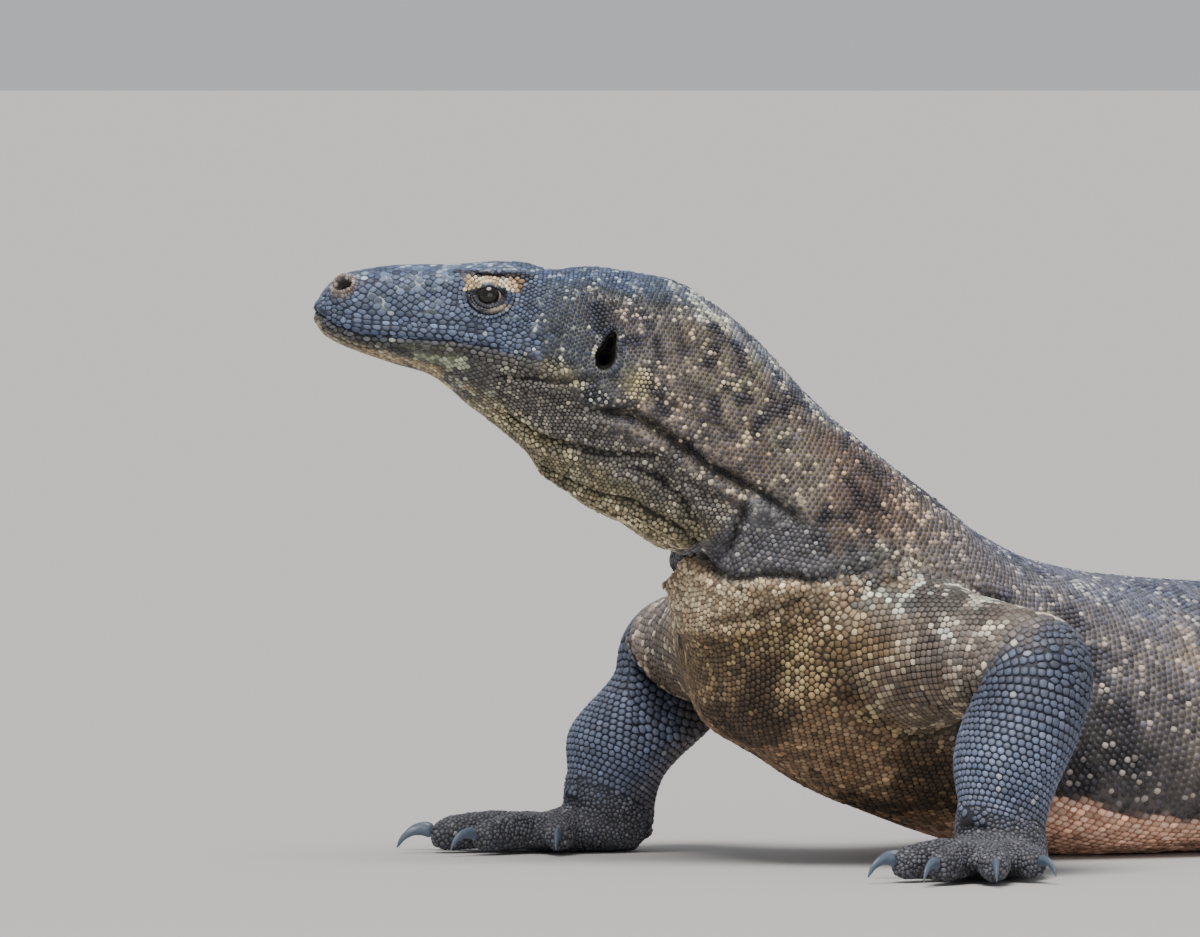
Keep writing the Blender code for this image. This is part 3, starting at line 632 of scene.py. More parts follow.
def openingPatch(opening, side, skinTree):
    feature = opening["feature"]
    centre, outward, back, up = planeFor(feature, side)
    turn = np.linspace(0, 2 * math.pi, opening["sides"], endpoint=False)
    edge = edgeOf(feature, turn)
    last = opening["rings"][-1]
    rings = list(opening["rings"]) + list(np.arange(last + 0.0006, opening["reach"] + 0.0006, 0.0006))
    points = []
    for far in rings:
        across, over = (edge + far) * np.cos(turn), (edge + far) * np.sin(turn)
        flat = centre + across[:, None] * back + over[:, None] * up
        hits = [castOnto(skinTree, p + outward * castFrom, -outward) for p in flat]
        skin = np.array([0.0 if hit is None else (hit - p) @ outward for hit, p in zip(hits, flat)])
        sink = 0.0007 * ramp(far, opening["reach"] - 0.0018, opening["reach"])
        height = opening["heights"](np.full(len(turn), far), edge, skin, turn) - sink
        points.append(flat + outward * height[:, None])
    points, count = np.concatenate(points), len(turn)
    faces = [tuple(f) for f in gridFaces(len(rings), count)] + [tuple(range(count))]
    normal = np.cross(points[faces[5][1]] - points[faces[5][0]], points[faces[5][3]] - points[faces[5][0]])
    if normal @ outward < 0:
        faces = [f[::-1] for f in faces]
    full = np.ones(len(points))
    return {"points": points, "faces": faces, "kind": full * 5, "fold": full * 0, "s": full * feature["at"],
            "pit": ramp(-np.repeat(rings, count), 0.0004, 0.0020) * opening["dark"],
            "angle": full * side * feature["angle"]}


def clearForOpening(piece, opening, side):  # takes away the grid's faces under a patch
    feature = opening["feature"]
    centre, outward, back, up = planeFor(feature, side)
    offset = piece["points"] - centre
    across, over, out = offset @ back, offset @ up, offset @ outward
    far = np.hypot(across, over) - edgeOf(feature, np.arctan2(over, across))
    inside = (far < opening["reach"] - 0.0022) & (np.abs(out) < 0.03)
    piece["faces"] = [f for f in piece["faces"] if not all(inside[list(f)])]


def makeSkin():
    pieces = {"body": bodyGrid()}
    for limb in limbs:
        pieces[limb["name"]] = limbGrid(limb)
    for name in ("hand_right", "hand_left", "foot_right", "foot_left"):
        pieces[name] = pawBlock(name)
    joinPieces(pieces)
    whole = pieces["body"]
    whole["fold"] = foldPush(whole["points"])
    push = whole["fold"] + mouthPush(whole["points"], whole["angle"]) + swell(whole["points"])
    whole["points"] = overFloor(whole["points"] + vertexNormals(whole) * push[:, None], floorGap)
    for piece in pieces.values():
        piece["pit"] = np.zeros(len(piece["points"]))
        piece.setdefault("fold", piece["pit"])
    say("skin pieces " + ", ".join(f"{n} {len(p['faces'])}" for n, p in pieces.items()))
    trees = {name: treeOf(piece) for name, piece in pieces.items()}
    sided = [(opening, side) for opening in openings for side in (1, -1)]
    patches = [openingPatch(opening, side, trees["body"]) for opening, side in sided]
    for opening, side in sided:
        clearForOpening(whole, opening, side)
    hideBuried(pieces, trees)
    return list(pieces.values()) + patches, pieces, trees


def hideBuried(pieces, trees):  # drops faces that lie well inside a neighbour
    pairs = [(a, b) for a, b, _ in joining] + [(b, a) for a, b, _ in joining]
    for name, near in pairs:
        piece = pieces[name]
        box, points = pieces[near]["points"], piece["points"]
        close = np.where(within(points, box.min(0), box.max(0)))[0]
        deep = np.zeros(len(points), bool)
        deep[close] = signedDistances(points[close], trees[near], 0.09) < -0.007
        piece["faces"] = [f for f in piece["faces"] if not all(deep[list(f)])]


skinPieces, skinParts, partTrees = makeSkin()


def joined(pieces):
    points, faces, start = [], [], 0
    for piece in pieces:
        points.append(piece["points"])
        faces += [tuple(i + start for i in f) for f in piece["faces"]]
        start += len(piece["points"])
    notes = {key: np.concatenate([p[key] for p in pieces]) for key in ("kind", "s", "angle", "pit", "fold")}
    return np.concatenate(points), faces, notes


skinPoints, skinFaces, skinNotes = joined(skinPieces)
skinMesh = bpy.data.meshes.new("skin")
skinMesh.from_pydata(skinPoints.tolist(), [], skinFaces)
skinMesh.shade_smooth()
skin = shown("skin", skinMesh)
say(f"skin of {sum(len(f) - 2 for f in skinFaces)} triangles")


# ---- a reader of the finished skin: place, outward way and notes at the nearest point ----


class SkinReader:
    def __init__(self):
        self.tree = BVHTree.FromPolygons(skinPoints.tolist(), skinFaces)
        normals = np.empty(len(skinMesh.vertices) * 3)
        skinMesh.vertex_normals.foreach_get("vector", normals)
        self.normals = normals.reshape(-1, 3)

    def read(self, points, reach=0.02):
        spots, normals = np.zeros((len(points), 3)), np.zeros((len(points), 3))
        pits, foldings, found = np.zeros(len(points)), np.zeros(len(points)), np.zeros(len(points), bool)
        for k, p in enumerate(points.tolist()):
            spot, _, index, _ = self.tree.find_nearest(p, reach)
            if spot is None:
                continue
            corners = list(skinFaces[index])
            spots[k] = spot
            gaps = skinPoints[corners] - spots[k]
            weights = 1 / (np.einsum("ij,ij->i", gaps, gaps) + 1e-10)
            normals[k] = weights @ self.normals[corners]
            pits[k] = skinNotes["pit"][corners].max()
            foldings[k] = skinNotes["fold"][corners].mean()
            found[k] = True
        return spots, unit(normals), pits, foldings, found


reader = SkinReader()


# ---- where the scales stand ----

spacingPlaces = (0.0, 0.03, 0.08, 0.12, 0.16, 0.20, 0.26, 0.32, 0.40, 0.55, 0.80, 1.19, 1.50, 2.00, 2.42)
spacingTable = {  # millimetres from scale to scale, by angle from the back's ridge, at the places above
    0: (2.8, 4.6, 4.8, 4.0, 3.3, 3.3, 3.6, 3.7, 3.9, 4.2, 5.6, 6.8, 7.6, 7.0, 4.6),
    60: (2.8, 4.9, 4.3, 2.9, 2.7, 3.0, 3.5, 3.6, 3.8, 4.1, 5.4, 6.8, 7.6, 6.6, 4.4),
    110: (2.8, 3.5, 3.3, 3.1, 2.8, 2.8, 3.0, 3.4, 4.1, 4.4, 5.6, 6.8, 7.6, 6.6, 4.4),
    180: (2.8, 3.2, 3.2, 3.0, 2.8, 2.8, 2.9, 3.6, 4.3, 6.0, 8.0, 8.6, 8.4, 6.6, 4.4),
}
limbSpacing = ((0.0, 4.5), (0.7, 4.7), (1.1, 5.4), (1.3, 5.6), (1.7, 5.2), (1.95, 4.2), (2.1, 3.2))
pawSpacing = {"hand": 0.0025, "foot": 0.0029}


def bodySpacing(s, angle):
    away = np.abs(signedAngle(angle))
    turns = list(spacingTable)
    rows = [np.interp(s, spacingPlaces, spacingTable[turn]) for turn in turns]
    out = 0.0
    for k in range(len(turns) - 1):
        here = (away >= turns[k]) & ((away < turns[k + 1]) | (turns[k + 1] == 180))
        between = rows[k] + (rows[k + 1] - rows[k]) * (away - turns[k]) / (turns[k + 1] - turns[k])
        out = np.where(here, between, out)
    return out * 0.001


bodyZones = (  # place from and to, angle from and to, step along as a share of the spacing
    (0.003, 0.200, 0, 48, 0.84),
    (0.003, 0.200, 48, 104, 0.84),
    (0.006, 0.200, 104, 180, 0.84),
    (0.200, 0.345, 0, 98, 0.88),
    (0.200, 0.306, 98, 180, 0.86),
    (0.306, 0.345, 98, 140, 0.88),
    (0.306, 0.345, 140, 180, 0.88),
    (0.345, 0.560, 0, 88, 0.88),
    (0.345, 0.560, 88, 130, 0.88),
    (0.345, 0.560, 130, 180, 0.88),
    (0.560, 1.190, 0, 118, 0.90),
    (0.560, 1.190, 118, 180, 1.15),
    (1.190, tailEnd - 0.002, 0, 98, 1.05),
    (1.190, tailEnd - 0.002, 98, 180, 1.10),
)


def bodyRows():
    rows = []
    for start, end, low, high, stepShare in bodyZones:
        at, row, edge = start, 0, 0.2 * (high - low)
        fine, inner = np.linspace(low, high, 90), np.linspace(low + edge, high - edge, 9)
        while at < end:
            spacing = bodySpacing(at, fine)
            lengths = np.linalg.norm(np.diff(bodySurface(at, fine), axis=0), axis=1)
            counted = runningSum(lengths / (spacing[1:] + spacing[:-1]) * 2)
            phase = 0.25 if stepShare > 1 else 0.5 * (row % 2)  # closer rows are staggered
            picks = np.interp(np.arange(phase, counted[-1], 1.0), counted, fine)
            picks = picks + chance.normal(0, 0.05, len(picks)) * (high - low) / max(counted[-1], 1)
            for side in (1, -1):
                kept = picks[picks > 0.3] if side < 0 else picks
                shift = chance.normal(0, 0.05, len(kept)) * spacing.mean()
                rows.append(np.stack([np.full(len(kept), at) + shift, side * kept], -1))
            stretch = np.linalg.norm(bodySurface(at + 0.002, inner) - bodySurface(at, inner), axis=1) / 0.002
            at += spacing.mean() * stepShare / np.clip(np.median(stretch), 0.7, 2.2)
            row += 1
    s, angle = np.concatenate(rows).T
    s = np.clip(s, 0.001, tailEnd - 0.001)
    return candidates(bodySurface(s, angle), s, angle, 0, bodySpacing(s, angle))


snoutLength = np.linspace(0, 0.30, 301)
snoutStretch = 1.14 - 0.14 * ramp(snoutLength, 0.125, 0.175)  # by its square a scale is longer than wide
snoutCrowded = runningSum(0.001 / snoutStretch[1:])


def stretchOf(points, kind):
    behind = (points - snoutTip) @ flatBack
    onHead = np.isin(kind, (0, 6)) & (points[:, 2] > 0.22)
    stretch = np.where(onHead, np.interp(behind, snoutLength, snoutStretch), 1.0)
    return np.where(kind == 6, 1.26, stretch)


def crowdedPlaces(points, kind):  # space itself, pulled so that the snout's long scales lie evenly in it
    behind = (points - snoutTip) @ flatBack
    onHead = np.isin(kind, (0, 5, 6)) & (points[:, 2] > 0.22) & (behind < 0.30)
    middle = snoutTip + flatBack * np.clip(behind, 0, 0.3)[:, None]
    wide = np.interp(behind, snoutLength, snoutStretch)[:, None]
    moved = middle + (points - middle) * wide
    shift = np.interp(behind, snoutLength, snoutCrowded) - behind
    shift = np.where(behind > 0, shift, 0) - (snoutCrowded[-1] - 0.30)
    moved = moved + flatBack * shift[:, None]
    return np.where(onHead[:, None], moved, points)


def candidates(points, s, angle, kind, spacing):
    values = {"points": points, "s": s, "angle": angle, "kind": kind, "spacing": spacing}
    return {key: value if key == "points" else np.ones(len(points)) * value for key, value in values.items()}


def limbRows(limb):
    rows, row = [], 0
    at, last = limbShape["scaled"]
    fine = np.linspace(0, 360, 121)
    while at < last:
        spacing = float(np.interp(at, *zip(*limbSpacing))) * 0.001
        lengths = lengthsAlong(limbSurface(limb, at, fine))
        count = max(int(round(lengths[-1] / spacing)), 6)
        picks = np.interp((np.arange(count) + 0.5 * (row % 2)) / count * lengths[-1], lengths, fine)
        rows.append(np.stack([np.full(count, at), picks, np.full(count, spacing)], -1))
        step = np.linalg.norm(limbCentre(limb, at + 0.01) - limbCentre(limb, at)) / 0.01
        at += spacing * 0.84 / step
        row += 1
    s, angle, spacing = np.concatenate(rows).T
    return candidates(limbSurface(limb, s, angle), s, angle, limb["kind"], spacing)


def ringsAround(feature, side, rings):  # rows of small scales that follow an opening's outline
    centre, outward, back, up = planeFor(feature, side)
    found, spacings = [], []
    turn = np.linspace(0, 2 * math.pi, 361)
    for far, spacing in rings:
        radius = edgeOf(feature, turn) + far
        line = np.stack([radius * np.cos(turn), radius * np.sin(turn)], -1)
        lengths = lengthsAlong(line)
        count = int(round(lengths[-1] / spacing))
        pick = (np.arange(count) + chance.random()) / count * lengths[-1]
        across, over = (np.interp(pick, lengths, line[:, k])[:, None] for k in (0, 1))
        flat = centre + across * back + over * up
        hits = [castOnto(reader.tree, p + outward * castFrom, -outward) for p in flat]
        found += [hit for hit in hits if hit is not None]
        spacings += [spacing for hit in hits if hit is not None]
    return candidates(np.array(found), feature["at"], side * feature["angle"], 5, np.array(spacings))


lipPlates = (  # height above the mouth's line, step along, spacing
    (0.0022, 0.0058, 0.0036), (-0.0022, 0.0054, 0.0035), (0.0053, 0.0060, 0.0036), (-0.0052, 0.0050, 0.0034),
    (0.0084, 0.0060, 0.0036), (-0.0081, 0.0046, 0.0032), (0.0115, 0.0060, 0.0037), (0.0147, 0.0060, 0.0038),
)


def lipRows():  # long plates along both lips
    out = []
    knots, heights = zip(*mouth["line"])
    for side in (1, -1):
        outer = headLeft * side
        for row, (over, step, spacing) in enumerate(lipPlates):
            found = []
            for behind in np.arange(0.004 + step * (0.5 * row % 1), mouth["corner"] - 0.4 * abs(over), step):
                start = snoutTip + flatBack * behind + headLeft * side * 0.15
                start[2] = np.interp(behind, knots, heights) + over
                hit = castOnto(reader.tree, start, -outer)
                if hit is not None and np.dot(hit - snoutTip, outer) > 0.004:
                    found.append(hit)
            out.append(candidates(np.array(found), 0.05, side * 90, 6, spacing))
    return out


def randomOver(count, kinds):  # random places over the skin's own faces, closer at the joints
    skinMesh.calc_loop_triangles()
    corners = np.empty(len(skinMesh.loop_triangles) * 3, np.int32)
    skinMesh.loop_triangles.foreach_get("vertices", corners)
    corners = corners.reshape(-1, 3)
    corners = corners[np.isin(skinNotes["kind"][corners[:, 0]], kinds)]
    kind, s, angle = (skinNotes[key][corners[:, 0]] for key in ("kind", "s", "angle"))
    a, b, c = (skinPoints[corners[:, k]] for k in range(3))
    area = np.linalg.norm(np.cross(b - a, c - a), axis=1)
    spacing, away = placeSpacing(kind, s, angle), np.abs(signedAngle(angle))
    onTrunk = bump(s, 0.42, 0.12) * (away > 80) + bump(s, 1.02, 0.22) * (away > 50)
    joint = np.where(kind == 0, onTrunk, np.isin(kind, (1, 2)) * (s < 1.4))
    weight = area / spacing ** 2 * (1 + 5 * joint)
    pick = chance.choice(len(corners), count, p=weight / weight.sum())
    u, v = chance.random(count), chance.random(count)
    flip = u + v > 1
    u, v = np.where(flip, 1 - u, u)[:, None], np.where(flip, 1 - v, v)[:, None]
    points = a[pick] + (b[pick] - a[pick]) * u + (c[pick] - a[pick]) * v
    return candidates(points, s[pick], angle[pick], kind[pick], spacing[pick])


def placeSpacing(kind, s, angle):
    onLimb = np.interp(s, *zip(*limbSpacing)) * 0.001
    cases = [np.isin(kind, (1, 2)), kind == 3, kind == 4, kind == 5]
    return np.select(cases, [onLimb, pawSpacing["hand"], pawSpacing["foot"], 0.0023], bodySpacing(s, angle))


def keepApart(sets):  # earlier sets go first; closeness is a share of the two spacings' mean
    cell, grid, kept, number = 0.010, {}, [], 0  # a cell is wider than the widest spacing
    around = list(itertools.product((-1, 0, 1), repeat=3))
    for places, share in sets:
        points = crowdedPlaces(places["points"], places["kind"])
        keys = np.floor(points / cell).astype(int).tolist()
        for (x, y, z), (i, j, k), own in zip(points.tolist(), keys, places["spacing"].tolist()):
            near = (spot for a, b, c in around for spot in grid.get((i + a, j + b, k + c), ()))
            if all((x - p) ** 2 + (y - q) ** 2 + (z - r) ** 2 >= ((own + other) * 0.5 * share) ** 2
                   for p, q, r, other in near):
                grid.setdefault((i, j, k), []).append((x, y, z, own))
                kept.append(number)
            number += 1
    return {key: np.concatenate([places[key] for places, _ in sets])[kept] for key in sets[0][0]}


def settle(places):  # onto the finished skin; places in pits, under the body or inside a neighbour go
    spots, normals, pits, foldings, found = reader.read(places["points"])
    good = found & (pits < 0.2)
    lifted = spots + normals * 0.0006
    onLimb = np.isin(places["kind"], (1, 2, 3, 4))
    for name, part in partTrees.items():
        asked = onLimb if name == "body" else True
        close = np.where(good & asked & within(lifted, *partBoxes[name]))[0]
        deep = signedDistances(lifted[close], part, 0.03) < 0.0
        good[close[deep]] = False
    out = {key: value[good] for key, value in places.items()}
    out["points"], out["normals"], out["fold"] = spots[good], normals[good], foldings[good]
    return out


partBoxes = {name: (piece["points"].min(0) - 0.002, piece["points"].max(0) + 0.002)
             for name, piece in skinParts.items()}
openingRings = (  # how far outside the opening's edge each ring of scales stands, and its spacing
    (eye, ((0.0012, 0.0017), (0.0032, 0.0021), (0.0055, 0.0024), (0.0079, 0.0027), (0.0106, 0.0030))),
    (nostril, ((0.0010, 0.0017), (0.0029, 0.0021))),
    (ear, ((0.0011, 0.0022), (0.0035, 0.0027))),
)


closest = {"rings": 0.62, "limbs": 0.72, "body": 0.74, "paws": 0.84, "gaps": 0.76}  # as shares of the spacing
triedPlaces = {"paws": 80000, "gaps": 150000}


def layScales():
    rows = [ringsAround(feature, side, rings) for side in (1, -1) for feature, rings in openingRings]
    sets = [(row, closest["rings"]) for row in rows + lipRows()]
    sets += [(limbRows(limb), closest["limbs"]) for limb in limbs]
    sets.append((bodyRows(), closest["body"]))
    for name, kinds in (("paws", (3, 4)), ("gaps", (0, 1, 2, 5))):
        sets.append((randomOver(triedPlaces[name], kinds), closest[name]))
    say(f"{sum(len(p['points']) for p, _ in sets)} places tried")
    sets = [(settle(places), share) for places, share in sets]
    say("settled on the skin")
    return keepApart(sets)


scales = layScales()
say(f"{len(scales['points'])} scales")


# ---- colours: one set of markings, with some painted light and shade, for skin and scales ----


def latticeValue(cells, seed):
    mixed = (cells[:, 0] * 73856093) ^ (cells[:, 1] * 19349663) ^ (cells[:, 2] * 83492791) ^ (seed * 2654435)
    mixed = (mixed ^ (mixed >> 13)) * 1274126177 & 0x7FFFFFFF
    return ((mixed ^ (mixed >> 16)) & 0xFFFF) / 65535


def cloud(points, size, seed):  # smooth noise from 0 to 1, with features about this size
    scaled = points / size
    base = np.floor(scaled).astype(np.int64)
    part = scaled - base
    part = part * part * (3 - 2 * part)
    total = np.zeros(len(points))
    for corner in range(8):
        step = np.array((corner & 1, corner >> 1 & 1, corner >> 2 & 1))
        weight = np.prod(np.where(step, part, 1 - part), axis=1)
        total += weight * latticeValue(base + step, seed)
    return total


def layered(points, size, seed):
    broad, middling = cloud(points, size, seed), cloud(points, size / 2.1, seed + 1)
    return (broad * 4 + middling * 2 + cloud(points, size / 4.3, seed + 2)) / 7


tones = {  # base, pale fleck, share of flecks, gap between scales (its own dark colour, partly painted shade between the scales), how pale the net between them is
    "trunk": ((0.084, 0.084, 0.114), (0.74, 0.63, 0.55), 0.10, (0.010, 0.009, 0.012), 0.44),
    "trunkLow": ((0.036, 0.034, 0.043), (0.50, 0.44, 0.41), 0.100, (0.004, 0.0035, 0.004), 0.32),
    "trunkTan": ((0.170, 0.138, 0.115), (0.76, 0.60, 0.45), 0.16, (0.060, 0.042, 0.033), 0.90),
    # the belly's paler colour, brightened further as painted light where the underside lies in shade
    "belly": ((0.900, 0.560, 0.410), (0.98, 0.70, 0.52), 0.20, (0.320, 0.130, 0.075), 0.0),
    # back: bluer on top, partly its own colour, partly a painted sheen of sky light
    "back": ((0.080, 0.092, 0.150), (0.74, 0.74, 0.76), 0.12, (0.014, 0.015, 0.022), 0.50),
    "neck": ((0.048, 0.044, 0.058), (0.82, 0.67, 0.48), 0.12, (0.007, 0.005, 0.006), 0.42),
    "neckLow": ((0.094, 0.092, 0.104), (0.48, 0.47, 0.45), 0.11, (0.014, 0.013, 0.015), 0.30),
    # neckBack: bluer and paler on top, partly its own colour, partly a painted sheen of sky light
    "neckBack": ((0.076, 0.086, 0.132), (1.0, 1.0, 0.84), 0.30, (0.012, 0.013, 0.018), 0.66),
    "neckWarm": ((0.052, 0.042, 0.048), (0.76, 0.48, 0.32), 0.12, (0.010, 0.006, 0.005), 0.42),
    "neckCream": ((0.070, 0.066, 0.066), (0.86, 0.78, 0.48), 0.22, (0.012, 0.010, 0.007), 0.55),
    "cheekYellow": ((0.130, 0.118, 0.090), (0.80, 0.70, 0.36), 0.46, (0.020, 0.018, 0.012), 0.30),
    "throat": ((0.130, 0.118, 0.108), (0.56, 0.52, 0.40), 0.15, (0.007, 0.006, 0.005), 0.02),
    "throatPale": ((0.215, 0.184, 0.112), (0.76, 0.68, 0.42), 0.24, (0.010, 0.008, 0.005), 0.03),
    "pouch": ((0.380, 0.308, 0.180), (1.0, 0.88, 0.58), 0.42, (0.018, 0.012, 0.006), 0.04),
    "jawCream": ((0.340, 0.265, 0.160), (0.60, 0.50, 0.32), 0.30, (0.080, 0.054, 0.030), 0.15),
    "head": ((0.094, 0.120, 0.192), (0.56, 0.64, 0.64), 0.010, (0.006, 0.010, 0.024), 0.02),
    # crown: bluer on top, partly its own colour, partly a painted sheen of sky light
    "crown": ((0.070, 0.098, 0.178), (0.54, 0.64, 0.70), 0.15, (0.014, 0.022, 0.046), 0.26),
    "temple": ((0.027, 0.035, 0.058), (0.78, 0.80, 0.74), 0.15, (0.002, 0.003, 0.008), 0.42),
    "jaw": ((0.074, 0.070, 0.066), (0.44, 0.45, 0.34), 0.07, (0.008, 0.007, 0.007), 0.03),
    "jawPale": ((0.130, 0.138, 0.094), (0.58, 0.64, 0.46), 0.60, (0.028, 0.029, 0.016), 0.35),
    "brow": ((0.780, 0.570, 0.310), (1.0, 0.98, 0.78), 0.70, (0.030, 0.018, 0.010), 0.20),
    "browRear": ((0.300, 0.180, 0.090), (0.86, 0.62, 0.34), 0.40, (0.040, 0.024, 0.014), 0.20),
    "lid": ((0.560, 0.480, 0.330), (0.80, 0.70, 0.50), 0.30, (0.200, 0.155, 0.100), 0.3),
    "lidDark": ((0.036, 0.038, 0.052), (0.10, 0.10, 0.12), 0.0, (0.007, 0.007, 0.011), 0.0),
    # painted shadow under the brow's ledge
    "browShadow": ((0.030, 0.026, 0.030), (0.10, 0.09, 0.09), 0.0, (0.009, 0.008, 0.009), 0.0),
    "nostrilRim": ((0.190, 0.150, 0.130), (0.44, 0.41, 0.40), 0.3, (0.100, 0.066, 0.048), 0.3),
    "chest": ((0.370, 0.278, 0.182), (0.90, 0.76, 0.52), 0.26, (0.086, 0.052, 0.028), 0.10),
    "chestMid": ((0.140, 0.090, 0.044), (0.54, 0.41, 0.20), 0.30, (0.012, 0.007, 0.003), 0.06),
    "chestLow": ((0.230, 0.142, 0.080), (0.42, 0.30, 0.17), 0.16, (0.062, 0.032, 0.017), 0.08),
    "chestDark": ((0.036, 0.020, 0.010), (0.15, 0.10, 0.05), 0.10, (0.008, 0.005, 0.003), 0.04),
    "upperArm": ((0.186, 0.154, 0.138), (0.84, 0.74, 0.62), 0.20, (0.010, 0.008, 0.007), 0.34),
    "upperArmPale": ((0.110, 0.103, 0.098), (0.90, 0.95, 0.82), 0.80, (0.010, 0.009, 0.009), 0.12),
    "forearm": ((0.078, 0.094, 0.142), (0.40, 0.44, 0.48), 0.008, (0.009, 0.011, 0.021), 0.0),
    # the inner arm's own colour, brightened as painted light on the far arm, which lies in shade
    "innerArmAndLight": ((0.130, 0.108, 0.112), (0.36, 0.30, 0.22), 0.08, (0.024, 0.017, 0.015), 0.05),
    "paw": ((0.094, 0.096, 0.118), (0.24, 0.24, 0.26), 0.06, (0.014, 0.013, 0.016), 0.04),
    "tail": ((0.085, 0.082, 0.092), (0.36, 0.32, 0.29), 0.08, (0.020, 0.017, 0.019), 0.35),
}
toneParts = ("base", "fleck", "share", "gap", "net")
tanBands = (  # strength, waver, place, reach
    (1.0, 0.03, 0.515, 0.016), (0.8, 0.03, 0.640, 0.018), (0.6, 0.0, 0.78, 0.02),
)
browEdge = (  # how far behind the eye, and how high the pale brow begins there
    (-0.016, 0.0032), (-0.009, 0.0030), (-0.005, 0.0066), (0.003, 0.0073), (0.009, 0.0060), (0.014, 0.0042),
    (0.022, 0.0036),
)
chestEdge = sorted((angle, place) for place, angle in collarLine + ((0.374, 95), (0.394, 89), (0.424, 86)))
armBones = [[np.array(limb[end]) + body["shift"] for end in ("root", "bend")] for limb in limbs[:2]]


def featureDistance(points, feature, side):
    centre, outward, back, up = planeFor(feature, side)
    offset = points - centre
    return np.linalg.norm(offset, axis=1), offset @ back, offset @ up


